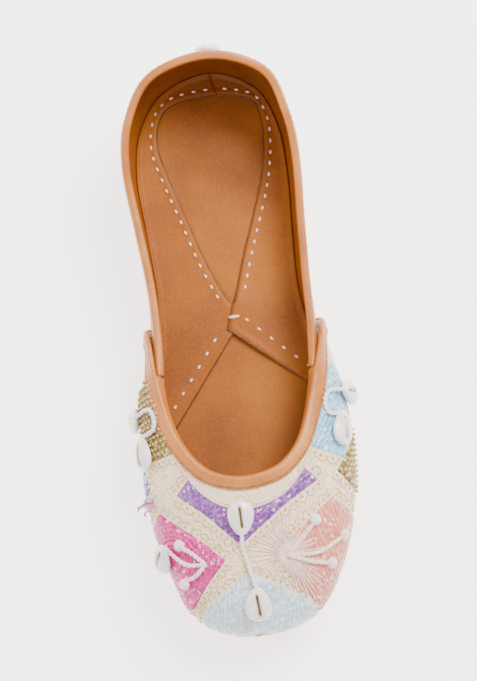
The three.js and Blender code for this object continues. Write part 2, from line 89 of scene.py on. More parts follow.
# A finish is a material whose colour, gloss and relief come from nodes on the piece's own
# pattern coordinates or its object coordinates. Every finish below starts from this one.
class Finish:
    def __init__(self, name, coordinates="Object", **sockets):
        self.material = bpy.data.materials.new(name)
        self.material.use_nodes = True
        self.tree = self.material.node_tree
        self.shader = self.tree.nodes["Principled BSDF"]
        self.where = self.add("TexCoord", out=coordinates)
        for socket, value in sockets.items():
            self.feed(self.shader, socket.replace("_", " "), value)

    def feed(self, node, socket, value):
        if isinstance(value, bpy.types.NodeSocket):
            self.tree.links.new(value, node.inputs[socket])
        else:
            node.inputs[socket].default_value = value

    def add(self, kind, inputs=None, out=0, **settings):
        node = self.tree.nodes.new("ShaderNode" + kind)
        for setting, value in settings.items():
            setattr(node, setting, value)
        for socket, value in (inputs or {}).items():
            self.feed(node, socket, value)
        return node.outputs[out]

    def calc(self, operation, first, second):
        return self.add("Math", {0: first, 1: second}, operation=operation)

    def weighed(self, *parts):
        """Two parts added up, each times its weight"""
        return self.calc("ADD", *(self.calc("MULTIPLY", part, weight) for part, weight in parts))

    def span(self, value, start, end, low, high):
        """Turns the range from start to end of the value into one from low to high"""
        return self.add("MapRange", {0: value, 1: start, 2: end, 3: low, 4: high})

    def colour(self, value):
        self.feed(self.shader, "Base Color", value)

    def stretched(self, scale, turn=0.0):
        inputs = {"Vector": self.where, "Scale": scale, "Rotation": (0, 0, turn)}
        return self.add("Mapping", inputs)

    def noise(self, scale, detail=3.0, vector=None, out="Fac"):
        inputs = {"Vector": vector or self.where, "Scale": scale, "Detail": detail}
        return self.add("TexNoise", inputs, out=out)

    def cells(self, scale, out="Distance", vector=None):
        return self.add("TexVoronoi", {"Vector": vector or self.where, "Scale": scale}, out=out)

    def ramp(self, share, stops):
        socket = self.add("ValToRGB", {"Fac": share})
        ramp = socket.node.color_ramp
        while len(ramp.elements) < len(stops):
            ramp.elements.new(0.5)
        for element, (place, shade) in zip(ramp.elements, stops):
            element.position = place
            element.color = paint(shade)
        return socket

    def mixed(self, share, first, second, blend="MIX"):
        inputs = {"Factor": share, 6: first, 7: second}
        inputs = {key: paint(value) if isinstance(value, str) else value for key, value in inputs.items()}
        return self.add("Mix", inputs, out=2, data_type="RGBA", blend_type=blend)

    def relief(self, height, millimetres, strength):
        inputs = {"Height": height, "Distance": millimetres / 1000, "Strength": strength}
        self.feed(self.shader, "Normal", self.add("Bump", inputs))


def paint(code):
    """The light of a screen colour such as "c9a27e", and full cover"""
    parts = [int(code[i : i + 2], 16) / 255 for i in (0, 2, 4)]
    return (*(c / 12.92 if c <= 0.04045 else ((c + 0.055) / 1.055) ** 2.4 for c in parts), 1)


# The floor is plain pale studio card, lit a little from below, so that it stays nearly white
# without a lamp that would wash out the sides of the slipper.
card = Finish("pale_card", Roughness=0.85, Emission_Color=(1, 1, 1, 1), Emission_Strength=2.2)
card.colour(card.ramp(card.noise(3), [(0, "f4f3f1"), (1, "f8f8f7")]))
bm = bmesh.new()
bmesh.ops.create_grid(bm, x_segments=2, y_segments=2, size=3)
floor_mesh = bpy.data.meshes.new("floor")
bm.to_mesh(floor_mesh)
bm.free()
floor_mesh.materials.append(card.material)
floor = bpy.data.objects.new("floor", floor_mesh)
scene.collection.objects.link(floor)

# The last that everything is built round, in the CAD's own sizes, in millimetres. It is the same
# table of ribs from the back of the heel to the tip of the toe, so every layer lies on the solids.
length = 250
ball_width = 90
heel_height, side_height, instep_height = 49, 25, 34.5
toe_spring, spring_length = 9, 62
outsole_thickness, board_thickness, lift_thickness = 2.4, 4.8, 2.7
tap_step = 0.8
wall, layer_gap = 1.6, 0.3
tap_y, seat_y, shank_ramp = -37, 63, 46
seat_rise = lift_thickness + layer_gap
# along and left, right of the foot; the same of the rim; how far the rim has climbed at heel and instep;
# lean, rise, reach, swell, drop of the rib's two handles
ribs = [
    ((0.49, -0.022, -0.022), (0.479, -0.022, -0.022), (1, 0), (0.03, 0.34, 0.1, 0.035, 0.36)),
    ((0.457, -0.265, 0.203), (0.451, -0.3, 0.235), (0.86, 0), (0.03, 0.34, 0.1, 0.03, 0.36)),
    ((0.388, -0.388, 0.303), (0.382, -0.427, 0.333), (0.46, 0), (0.028, 0.34, 0.1, 0.018, 0.36)),
    ((0.304, -0.417, 0.335), (0.304, -0.452, 0.37), (0.19, 0), (0.025, 0.34, 0.1, 0.01, 0.36)),
    ((0.2, -0.383, 0.34), (0.2, -0.412, 0.374), (0.06, 0), (0.022, 0.34, 0.1, 0.006, 0.36)),
    ((0.096, -0.352, 0.352), (0.1, -0.37, 0.38), (0, 0), (0.022, 0.36, 0.1, 0.006, 0.34)),
    ((0, -0.36, 0.415), (0.012, -0.352, 0.387), (0, 0.03), (0.035, 0.4, 0.18, 0.015, 0.28)),
    ((-0.096, -0.407, 0.488), (-0.068, -0.347, 0.37), (0, 0.2), (0.06, 0.46, 0.36, 0.02, 0.14)),
    ((-0.192, -0.42, 0.515), (-0.132, -0.314, 0.332), (0, 0.47), (0.065, 0.5, 0.46, 0.012, 0.1)),
    ((-0.29, -0.394, 0.494), (-0.182, -0.25, 0.282), (0, 0.74), (0.08, 0.52, 0.52, 0.006, 0.12)),
    ((-0.3825, -0.313, 0.421), (-0.217, -0.167, 0.198), (0, 0.9), (0.095, 0.52, 0.54, 0, 0.18)),
    ((-0.4575, -0.206, 0.287), (-0.232, -0.079, 0.1), (0, 0.98), (0.11, 0.52, 0.56, 0, 0.24)),
    ((-0.4852, 0.026, 0.026), (-0.2365, 0.006, 0.006), (0, 1), (0.115, 0.52, 0.58, 0, 0.27)),
]
rib_count = 2 * (len(ribs) - 1)


def smooth(x):
    x = min(1, max(0, x))
    return x * x * (3 - 2 * x)


def blend(a, b, share):
    return a + (b - a) * share


def spring_at(y):
    return toe_spring * min(1, max(0, (-length / 2 + spring_length - y) / spring_length)) ** 2


def shank_at(y):
    return tap_step * smooth((y - tap_y) / 4) + (seat_rise - tap_step) * smooth(
        (y - (seat_y - shank_ramp)) / shank_ramp
    )


def outsole_under(y):
    return spring_at(y) + shank_at(y)


def outsole_top(y):
    return spring_at(y) + outsole_thickness + seat_rise * smooth((y - tap_y) / (seat_y - tap_y))


def board_under(y):
    return outsole_top(y) + layer_gap


def board_top(y):
    return board_under(y) + board_thickness


def seat(y):
    return board_top(y) + layer_gap


def rail(points):
    """The smooth closed curve through the points, at a share of the way round"""
    known = {}

    def at(share):
        share = share % 1
        if share not in known:
            place = share * len(points)
            k = int(place)
            s = place - k
            before, here, after, beyond = (points[(k + i) % len(points)] for i in (-1, 0, 1, 2))
            leave, arrive = (after - before) / 2, (beyond - here) / 2
            known[share] = (
                (2 * s**3 - 3 * s**2 + 1) * here
                + (s**3 - 2 * s**2 + s) * leave
                + (3 * s**2 - 2 * s**3) * after
                + (s**3 - s**2) * arrive
            )
        return known[share]

    return at


def rail_of(point_of):
    left = [point_of(row, 1, k / rib_count) for k, row in enumerate(ribs)]
    right = [point_of(row, 2, 1 - k / rib_count) for k, row in enumerate(ribs)][1:-1]
    return rail(left + right[::-1])


def outward(share):
    along = foot_rail(share + 1e-4) - foot_rail(share - 1e-4)
    return Vector((along.y, -along.x, 0)).normalized()


def foot_point(row, side, share):
    return Vector((row[0][side] * ball_width, row[0][0] * length, 0))


def rim_point(row, side, share):
    heel, instep = row[2]
    y = row[1][0] * length
    rise = side_height + heel * (heel_height - side_height) + instep * (instep_height - side_height)
    return Vector((row[1][side] * ball_width, y, seat(y) + rise))


def low_handle(row, side, share):
    foot, rim = foot_point(row, side, share), rim_point(row, side, share)
    foot.z = seat(foot.y)
    lean, rise = row[3][:2]
    return foot + outward(share) * lean * ball_width + Vector((0, 0, rise * (rim.z - foot.z)))


def high_handle(row, side, share):
    foot, rim = foot_point(row, side, share), rim_point(row, side, share)
    foot.z = seat(foot.y)
    reach, swell, drop = row[3][2:]
    plan = Vector((foot.x - rim.x, foot.y - rim.y, 0)) * reach
    return rim + plan + outward(share) * swell * ball_width - Vector((0, 0, drop * (rim.z - foot.z)))


foot_rail = rail_of(foot_point)
rim_rail = rail_of(rim_point)
low_rail = rail_of(low_handle)
high_rail = rail_of(high_handle)


def last_point(t, r):
    foot = foot_rail(t).copy()
    foot.z = seat(foot.y)
    s = 1 - r
    return (
        s**3 * foot + 3 * s * s * r * low_rail(t) + 3 * s * r * r * high_rail(t) + r**3 * rim_rail(t)
    )


def last_frame(t, r):
    """The steps round and up the last at t round it and r up its rib, and the way out of its face"""
    low, high = max(0, r - 1e-3), min(1, r + 1e-3)
    turn = (last_point(t + 1e-3, r) - last_point(t - 1e-3, r)) / 2e-3
    rise = (last_point(t, high) - last_point(t, low)) / (high - low)
    return turn, rise, turn.cross(rise).normalized()


def off_last(t, r, off):
    """A point off the last's face, which at the foot moves level with the sole"""
    r = min(1, max(0, r))
    point = last_point(t, r)
    level = smooth(1 - r / 0.12)
    direction = last_frame(t, r)[2].lerp(outward(t), level).normalized()
    placed = point + direction * off
    if level > 0:
        on_seat = seat(placed.y) + point.z - last_point(t, 0).z
        placed.z = blend(placed.z, on_seat, level)
    return placed


# Sole: a coral rubber outsole whose forefoot is a tap, a tan leather board on it with a rounded
# edge, and a thin leather heel lift. They are cut to the foot's outline, glued and sewn through.
sole_margin = 2
edge_bulge = 0.9
board_outline = [foot_rail(k / 96) + outward(k / 96) * (sole_margin + edge_bulge) for k in range(96)]
board_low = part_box("board")[0] * 1000
shift = Vector(
    (board_low.x - min(p.x for p in board_outline), board_low.y - min(p.y for p in board_outline), 0)
)


def in_frame(point):
    """A point of the last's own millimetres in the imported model's metres"""
    return (point + shift) / 1000


def unit_grid(columns, rows):
    """A flat grid that goes from 0 to 1 along x and y"""
    bm = bmesh.new()
    bmesh.ops.create_grid(bm, x_segments=columns, y_segments=rows, size=0.5)
    bmesh.ops.translate(bm, verts=bm.verts, vec=(0.5, 0.5, 0))
    return bm


def turn_out(bm):
    """Turns the faces of a closed mesh outwards"""
    bmesh.ops.recalc_face_normals(bm, faces=bm.faces)
    if bm.calc_volume(signed=True) < 0:
        bmesh.ops.reverse_faces(bm, faces=bm.faces)


def plate(edge, under, top, end_row=12.0, steps=110):
    """A plate on the foot's outline; edge lists the levels and how far out each one's rim stands"""
    bm = unit_grid(10, steps)
    region = bm.faces[:]
    for number in range(1, len(edge)):
        made = bmesh.ops.extrude_face_region(bm, geom=region)["geom"]
        if number > 1:
            bmesh.ops.delete(bm, geom=region, context="FACES")
        region = [part for part in made if isinstance(part, bmesh.types.BMFace)]
        corners = [part for part in made if isinstance(part, bmesh.types.BMVert)]
        bmesh.ops.translate(bm, verts=corners, vec=(0, 0, 1))
    for corner in bm.verts:
        across, along, number = corner.co
        level, out = edge[round(number)]
        t = along * end_row / rib_count
        left = foot_rail(t) + outward(t) * out
        right = foot_rail(1 - t) + outward(1 - t) * out
        point = left.lerp(right, across)
        point.z = blend(under(point.y), top(point.y), level)
        corner.co = in_frame(point)
    bmesh.ops.remove_doubles(bm, verts=bm.verts, dist=2e-5)
    turn_out(bm)
    return bm


def on_slipper(name, data, finish):
    """Makes a mesh or a curve an object that rides on the model, with its finish"""
    data.materials.append(finish.material)
    made = bpy.data.objects.new(name, data)
    scene.collection.objects.link(made)
    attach(made, "root")
    return made


def piece(name, bm, finish, slot, *replaced):
    """A piece of the slipper, and the solids that it stands for"""
    for face in bm.faces:
        face.smooth = True
    mesh = bpy.data.meshes.new(name)
    bm.to_mesh(mesh)
    bm.free()
    made = on_slipper(name, mesh, finish)
    if replaced:
        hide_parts(*replaced)
    return made


coral = Finish("coral_rubber", Roughness=0.62, Specular_IOR_Level=0.4)
patchy = coral.ramp(coral.noise(60, 4), [(0.25, "cc5a4b"), (0.75, "e67562")])
speckled = coral.ramp(coral.noise(900, 2), [(0.35, "b94f41"), (0.65, "ee8b76")])
coral.colour(coral.mixed(0.35, patchy, speckled))
coral.relief(coral.calc("ADD", coral.noise(1400, 2), coral.noise(120, 3)), 0.12, 0.7)


def past_margin(*edge):
    return [(level, sole_margin + out) for level, out in edge]


outsole_edge = past_margin((0, -1.8), (0, -0.9), (0.15, -0.25), (0.4, 0), (0.85, 0), (1, -0.25), (1, -1.2))
piece("outsole_rubber", plate(outsole_edge, outsole_under, outsole_top), coral, "coral_sole", "outsole")

edge_leather = Finish("board_leather", Roughness=0.5, Coat_Weight=0.15, Coat_Roughness=0.35)
layers = edge_leather.noise(1, 4, edge_leather.stretched((90, 90, 1400)))
edge_leather.colour(edge_leather.ramp(
    edge_leather.weighed((layers, 0.6), (edge_leather.noise(70, 3), 0.4)),
    [(0.3, "bb7434"), (0.5, "d58e4b"), (0.7, "e6a562")]))
edge_leather.relief(edge_leather.calc("ADD", layers, edge_leather.noise(1100, 3)), 0.1, 0.6)
board_edge = past_margin(
    (0, -1.6), (0, -0.3), (0.1, 0.35), (0.28, 0.85), (0.5, edge_bulge), (0.75, 0.82), (0.92, 0.3), (1, 0),
    (1, -1.6))
piece("leather_board", plate(board_edge, board_under, board_top), edge_leather, "tan_leather", "board")
lift_edge = past_margin((0, -2), (0, -0.8), (0.2, -0.2), (0.4, 0), (0.9, 0), (1, -0.3), (1, -1.2))
lift = plate(lift_edge, lambda y: 0, lambda y: lift_thickness, end_row=3.5, steps=40)
piece("heel_lift_leather", lift, edge_leather, "tan_leather", "heel_lift")

# Insole: one piece of smooth tan leather, glued to the board. Its face has fine pores and a soft
# mottle, and it has painted shade, as the lining has: both are darker towards the back of the heel.
insole_thickness = 1.6
inside_wall = -(wall + layer_gap)
lining_leather = Finish("lining_leather", Roughness=0.6, Specular_IOR_Level=0.28)
pores = lining_leather.cells(900)
leather_tone = lining_leather.ramp(
    lining_leather.weighed((lining_leather.noise(28, 4), 0.9), (pores, 0.15)),
    [(0.3, "753803"), (0.5, "914c09"), (0.75, "a65f13")])
across, back, height = (lining_leather.add("SeparateXYZ", {0: lining_leather.where}, out=k) for k in range(3))
# Painted shade: the leather is darkened towards the back of the heel, low on the wall and more on the right,
# where the counter shades the heel seat.
painted_heel_shade = lining_leather.calc(
    "MULTIPLY", lining_leather.span(back, 0.1, 0.117, 0.0, 0.46),
    lining_leather.span(across, -0.03, 0.008, 0.3, 1.0))
painted_heel_shade = lining_leather.calc("MULTIPLY", painted_heel_shade, lining_leather.span(height, 0.058, 0.036, 0.1, 1.0))
lining_leather.colour(lining_leather.mixed(painted_heel_shade, leather_tone, "4c2204"))
rubbed = lining_leather.calc("MULTIPLY", lining_leather.noise(50, 2), 0.25)
lining_leather.feed(lining_leather.shader, "Roughness", lining_leather.calc("ADD", rubbed, 0.46))
lining_leather.relief(lining_leather.calc("ADD", pores, lining_leather.noise(240, 4)), 0.1, 0.55)
insole_edge = [(0, inside_wall), (0.7, inside_wall), (1, inside_wall - 0.3), (1, inside_wall - 2.5)]


def insole_top(y):
    return seat(y) + insole_thickness


insole = plate(insole_edge, seat, insole_top)
piece("insole_leather", insole, lining_leather, "lining_leather", "insole")

# Quarter and lining: a counter of cream silk round the heel and the sides, and a soft tan leather
# lining glued inside it. Both run right round inside the vamp and stand on the board.


def on_strip(x, y):
    """The pattern coordinates of a cloth that is a plain strip, in millimetres"""
    return Vector((x * 560, y * 50))


def wrap(columns, rows, place_of, start=0.0, end=1.0, pattern_of=on_strip):
    """A cloth cut flat, x round the slipper and y up it, and then pulled over the last"""
    bm = bmesh.new()
    bmesh.ops.create_grid(bm, x_segments=columns, y_segments=rows, size=0.5)
    cut = Matrix.Translation((start, 0, 0)) @ Matrix.Diagonal((end - start, 1, 1, 1))
    bmesh.ops.transform(bm, matrix=cut @ Matrix.Translation((0.5, 0.5, 0)), verts=bm.verts)
    pattern = bm.loops.layers.uv.new("pattern")
    for corner in bm.verts:
        place = pattern_of(corner.co.x, corner.co.y)
        for loop in corner.link_loops:
            loop[pattern].uv = (place.x, place.y)
    for corner in bm.verts:
        corner.co = in_frame(place_of(corner.co.x, corner.co.y))
    bmesh.ops.remove_doubles(bm, verts=bm.verts, dist=2e-5)
    return bm


def thickened(made, thickness, offset):
    """Gives a sheet its thickness in millimetres, on the side that offset says"""
    shell = made.modifiers.new("thickness", "SOLIDIFY")
    shell.thickness = thickness / 1000
    shell.offset = offset


silk = Finish("cream_silk", "UV", Roughness=0.55, Sheen_Weight=0.4, Sheen_Roughness=0.35)
warp = silk.add("TexWave", {"Vector": silk.where, "Scale": 0.62, "Distortion": 1.2, "Detail Scale": 1.5},
                bands_direction="X")
weft = silk.add("TexWave", {"Vector": silk.where, "Scale": 0.7, "Distortion": 1.0, "Detail Scale": 1.5},
                bands_direction="Y")
slubs = silk.noise(1, 3, silk.stretched((0.06, 1.3, 1)))
silk.colour(silk.ramp(
    silk.weighed((slubs, 0.7), (weft, 0.2)),
    [(0.25, "e6dcca"), (0.5, "f3ecdf"), (0.8, "fbf7ee")]))
silk.relief(silk.weighed((warp, weft), (slubs, 1.2)), 0.12, 0.6)

quarter_layer = 0.8
quarter = piece("quarter_silk", wrap(288, 14, lambda t, r: off_last(t, r, 0)), silk, "cream_cloth", "upper")
thickened(quarter, quarter_layer, -1)
lining = piece(
    "quarter_lining", wrap(288, 14, lambda t, r: off_last(t, r, -wall)), lining_leather, "lining_leather")
thickened(lining, wall - quarter_layer - 0.05, 1)

# Lining flaps: the lining leather is turned in over the insole from both sides and sewn down with
# running stitches. The two flaps cross at the waist, the right one on top, and leave a long window.
flap_thickness = 1.0
window_rows = [
    (0.446, 0.01, 0.01), (0.436, -0.19, 0.165), (0.41, -0.275, 0.208), (0.36, -0.297, 0.219),
    (0.3, -0.25, 0.2), (0.24, -0.19, 0.155), (0.16, -0.108, 0.088), (0.1, -0.03, 0.045), (0.078, 0.02, 0.02),
]
window_rail = rail(
    [Vector((row[1] * ball_width, row[0] * length, 0)) for row in window_rows]
    + [Vector((row[2] * ball_width, row[0] * length, 0)) for row in window_rows[1:-1]][::-1]
)
flap_tuck = 0.5
flap_over = {"left": 0.0, "right": 0.7}
flap_ends = {"left": (8, 2.2, 8.4), "right": (7, -1.2, 8.6)}  # row at the wall, and the inner corner


def flap_place(side, along, across):
    """A place on a flap: along from the heel to the front edge, across from the wall to the window"""
    end_row, corner_x, corner_y = flap_ends[side]
    share = along * end_row / rib_count
    t = share if side == "left" else 1 - share
    at_wall = foot_rail(t) + outward(t) * (inside_wall + flap_tuck)
    window_end = 0.86
    if along < window_end:
        inner = window_rail(0.5 * along / window_end if side == "left" else 1 - 0.5 * along / window_end)
    else:
        past_window = (along - window_end) / (1 - window_end)
        inner = window_rail(0.5).lerp(Vector((corner_x, corner_y, 0)), past_window)
    return at_wall.lerp(inner, across)


def on_flap(side, along, across):
    """The top of a flap: a rounded hem at its free edges and a fillet where it leaves the wall"""
    point = flap_place(side, along, across)
    off_wall = (point - flap_place(side, along, 0)).length
    to_front = (point - flap_place(side, 1, across)).length
    to_window = (point - flap_place(side, along, 1)).length
    hem = 0.35 * (1 - smooth(abs(min(to_front, to_window) - 1.6) / 2.2))
    fillet = 1.4 * (1 - smooth(off_wall / 2.6)) ** 1.5
    crossing = flap_over[side] * smooth((along - 0.7) / 0.12) * smooth((across - 0.45) / 0.3)
    point.z = insole_top(point.y) + layer_gap + flap_thickness + hem + fillet + crossing
    point.z += 0.25 * math.sin(9 * along) * math.sin(3 * across)
    return point


def flap(side):
    bm = unit_grid(110, 24)
    for corner in bm.verts:
        corner.co = in_frame(on_flap(side, corner.co.x, corner.co.y))
    bmesh.ops.recalc_face_normals(bm, faces=bm.faces)
    if sum(face.normal.z for face in bm.faces) < 0:
        bmesh.ops.reverse_faces(bm, faces=bm.faces)
    made = piece(side + "_lining_flap", bm, lining_leather, "lining_leather", "lining_flaps")
    thickened(made, flap_thickness, -1)


flap("left")
flap("right")

# Bindings: strips of tan leather folded over the collar and over the vamp's edge, and sewn through.
# The vamp's has no inner leg where the wings stand off; past the swap it goes round both edges.
wing_stand_off = 2
vamp_thickness = 1
binding_thickness, binding_width = 0.7, 5
wing_foot_row, wing_corner_row, wing_curve, wing_slant_rows = 5.6, 6, 1.8, 2.5
corner_round, corner_drop, wing_close_row, swap_row = 0.6, 0.12, 7.9, 6.75


def rows_from_wing(t):
    return min(t, 1 - t) * rib_count - wing_corner_row


def toe_pleat(t, r):
    """The tuck in the middle of the toe and the small gathers beside it, where the cloth meets the sole"""
    tuck = -1.5 * math.exp(-(((t - 0.503) / 0.007) ** 2)) * smooth((0.4 - r) / 0.26)
    gathers = 0.22 * math.sin(t * 620) * smooth((0.2 - r) / 0.16) * smooth((rows_from_wing(t) - 2.5) / 1.5)
    return tuck + gathers


def vamp_under(t, r):
    close = smooth(1 - rows_from_wing(t) / (wing_close_row - wing_corner_row))
    return layer_gap + wing_stand_off * smooth(r / 0.7) * close


def vamp_over(t, r):
    return vamp_under(t, r) + vamp_thickness


def vamp_place(base, v):
    """A place on the vamp: base is the place round the collar, v the height from sole to edge"""
    rows = rows_from_wing(base)
    slant = (wing_corner_row - wing_foot_row) / rib_count * (1 - v**wing_curve)
    slant *= smooth(1 - rows / wing_slant_rows)
    from_corner = min(1, max(0, rows / corner_round))
    top = 1 - corner_drop * (1 - math.sqrt(1 - (1 - from_corner) ** 2))
    return (base - slant if base < 0.5 else base + slant), v * top


def from_collar(place, along):
    """The direction from an edge into the piece, and the place that lies some millimetres along it"""
    t, r = place
    turn, rise, normal = last_frame(t, r)
    into = along.cross(normal).normalized()
    tt, tr, rr = turn.dot(turn), turn.dot(rise), rise.dot(rise)
    it, ir = into.dot(turn), into.dot(rise)
    det = tt * rr - tr * tr
    step_t, step_r = (it * rr - ir * tr) / det, (ir * tt - it * tr) / det
    return into, lambda down: (t + step_t * down, min(1, max(0, r + step_r * down)))


def binding_ring(place, along, outer, inner, inner_leg):
    t, r = place
    into, place_at = from_collar(place, along)

    def inward(down, off, more):
        at_t, at_r = place_at(down)
        return off_last(at_t, at_r, off(at_t, at_r) + more)

    def beyond(over, off):
        return off_last(t, r, off) - into * over

    leg = inner_leg or 0
    thickness = 0 if inner_leg is None else binding_thickness
    face = outer(t, r) + layer_gap + binding_thickness
    back = inner(t, r) - thickness
    quarter_way = (face - back) * 0.25
    shoulder = layer_gap + binding_thickness * 0.4

    def inner_point(down, more):
        return inward(down, inner, more) if down > 0 else beyond(layer_gap, inner(t, r) + more)

    return [
        beyond(shoulder, face),
        inward(binding_width / 2, outer, layer_gap + binding_thickness + 0.15),
        inward(binding_width - 0.4, outer, layer_gap + binding_thickness),
        inward(binding_width, outer, layer_gap + 0.3),
        inward(binding_width - 0.3, outer, layer_gap - 0.2),
        inward(binding_width / 2, outer, layer_gap),
        beyond(layer_gap, outer(t, r) + layer_gap),
        beyond(layer_gap, inner(t, r)),
        inner_point(leg / 2, 0),
        inner_point(leg, 0),
        inner_point(leg, -thickness),
        inner_point(leg / 2, -thickness),
        beyond(shoulder, back),
        beyond(layer_gap + binding_thickness, back + quarter_way),
        beyond(layer_gap + binding_thickness, face - quarter_way),
    ]


def binding(name, places, section_of, node):
    """A strip folded over an edge, swept along the places"""
    on_edge = [off_last(t, r, 0) for t, r in places]
    end = len(places) - 1
    ways = [(on_edge[min(end, k + 1)] - on_edge[max(0, k - 1)]).normalized() for k in range(end + 1)]
    rings = [binding_ring(place, way, *section_of(place)) for place, way in zip(places, ways)]
    around = len(rings[0])
    distances = [0]
    for here, after in zip(on_edge, on_edge[1:]):
        distances.append(distances[-1] + (after - here).length)
    bm = unit_grid(end, around)
    pattern = bm.loops.layers.uv.new("pattern")
    for corner in bm.verts:
        corner.co.x, corner.co.y = round(corner.co.x * end), round(corner.co.y * around)
    for face in bm.faces:
        for loop in face.loops:
            loop[pattern].uv = (distances[int(loop.vert.co.x)], loop.vert.co.y)
    for corner in bm.verts:
        corner.co = in_frame(rings[int(corner.co.x)][int(corner.co.y) % around])
    bmesh.ops.remove_doubles(bm, verts=bm.verts, dist=1e-6)
    bmesh.ops.holes_fill(bm, edges=bm.edges)
    turn_out(bm)
    made = piece(name, bm, binding_leather, "tan_leather", node)
    round_off = made.modifiers.new("rounded", "SUBSURF")
    round_off.levels = round_off.render_levels = 2


binding_leather = Finish("binding_leather", Roughness=0.46, Coat_Weight=0.2, Coat_Roughness=0.4)
grain = binding_leather.cells(1300)
binding_leather.colour(binding_leather.ramp(
    binding_leather.weighed((binding_leather.noise(45, 4), 0.75), (grain, 0.25)),
    [(0.3, "a5560f"), (0.5, "bd6c20"), (0.75, "cf8334")]))
binding_leather.relief(binding_leather.calc("ADD", grain, binding_leather.noise(300, 3)), 0.09, 0.6)


def on_quarter(t, r):
    return 0


def inside_binding(t, r):
    return inside_wall


columns_a_row = 8
rim_columns = columns_a_row * rib_count
swap_column = round(swap_row * columns_a_row)
past_swap = 0.4  # columns by which its ends, rounded off below, reach past the swap
quarter_columns = [-swap_column - past_swap, *range(-swap_column, swap_column + 1), swap_column + past_swap]
quarter_places = [(column / rim_columns, 1) for column in quarter_columns]
binding("quarter_binding_leather", quarter_places,
        lambda place: (on_quarter, inside_binding, binding_width), "quarter_binding")
cross_start, cross_end = swap_row + 0.03, swap_row + 0.1


def vamp_section(place):
    row = min(place[0], 1 - place[0]) * rib_count
    if row < cross_start + 1e-3:
        return vamp_over, vamp_under, None
    return vamp_over, inside_binding, 0 if row < swap_row + 0.24 else binding_width


first_column, last_column = wing_corner_row / rib_count, 1 - wing_corner_row / rib_count
wing_steps = 14
heights = [k / wing_steps for k in range(wing_steps)]
throat = [k / rim_columns for k in range(rim_columns)]
throat = [t for t in throat if first_column - 1e-6 < t < last_column + 1e-6]
throat += [share for row in (cross_start, cross_end) for share in (row / rib_count, 1 - row / rib_count)]
vamp_edge = [vamp_place(first_column, v) for v in heights]
vamp_edge += [vamp_place(base, 1) for base in sorted(throat)]
vamp_edge += [vamp_place(last_column, v) for v in heights[::-1]]
binding("vamp_binding_leather", vamp_edge, vamp_section, "vamp_binding")

# Vamp: an embroidered cover of cream silk over the forefoot, with a wing at each side that stands
# off the quarter. The cloth is closely quilted by hand before it is cut and lasted.
ground = Finish("quilted_silk", "UV", Roughness=0.6, Sheen_Weight=0.35, Sheen_Roughness=0.4)
drift = ground.add("VectorMath", {0: ground.noise(0.09, 2, out="Color"), 1: (14.0, 14.0, 0.0)},
                   operation="MULTIPLY")
drifted = ground.add("VectorMath", {0: ground.where, 1: drift}, operation="ADD")
wavy = ground.add("TexWave", {"Vector": drifted, "Scale": 0.26, "Distortion": 3.0, "Detail": 2.0,
                              "Detail Scale": 0.3}, bands_direction="DIAGONAL")
knots = ground.cells(0.75)
tufts = ground.noise(0.35, 4)
cloth_tone = ground.ramp(ground.weighed((tufts, 0.6), (wavy, 0.4)), [
    (0.2, "e8b88a"), (0.45, "feddb8"), (0.75, "fff1d8")])
gold_fleck = ground.calc("MULTIPLY", ground.calc("LESS_THAN", ground.noise(1.3, 2), 0.4), 0.35)
ground.colour(ground.mixed(gold_fleck, cloth_tone, "cfa86c"))
ground.relief(ground.weighed((wavy, 0.55), (knots, 0.6)), 0.35, 0.7)


def flat_of(t, r):
    """Where a place on the vamp lies when its cloth is laid out flat, in millimetres"""
    foot, rim = foot_rail(t).copy(), rim_rail(t)
    foot.z = seat(foot.y)
    down_rib = Vector((foot.x - rim.x, foot.y - rim.y, 0)) + outward(t) * (rim.z - foot.z)
    steps = [last_point(t, r + (1 - r) * k / 6) for k in range(7)]
    arc = sum((after - here).length for here, after in zip(steps, steps[1:]))
    return Vector((rim.x, rim.y, 0)) + down_rib.normalized() * arc


def vamp_cloth_place(x, y):
    t, r = vamp_place(x, y)
    return off_last(t, r, vamp_over(t, r) + toe_pleat(t, r))


vamp_bm = wrap(312, 30, vamp_cloth_place, first_column, last_column,
               pattern_of=lambda x, y: flat_of(*vamp_place(x, y)))
vamp = piece("vamp_cloth", vamp_bm, ground, "embroidered_cloth", "vamp")
thickened(vamp, vamp_thickness, -1)

# Needlework patches: diamonds and triangles filled with close satin stitch and cut beads in one
# colour each, worked on the silk. Each is padded, so it stands up a little and sinks at its edge.
lowest, highest = 0.05, 0.9  # the patches stay between the sole's seam and the binding
patch_height, patch_grid, patch_round = 0.7, 0.9, 1.8
last_girth, vamp_rise, end_rise = 480, 44, 45  # about the lengths round the last and up the vamp


def sides_of(corners):
    """The sides of a patch: where each starts and ends, its direction, and the way out of the patch"""
    middle = sum(corners, Vector()) / len(corners)
    for here, after in zip(corners, corners[1:] + corners[:1]):
        side = (after - here).normalized()
        out = Vector((side.y, -side.x, 0))
        yield here, after, side, -out if (middle - here).dot(out) > 0 else out


def from_edge(point, sides):
    """How far inside the patch's outline the point lies, in millimetres of the flat pattern"""
    return min(abs((point - here).cross(side).z) for here, _, side, _ in sides)


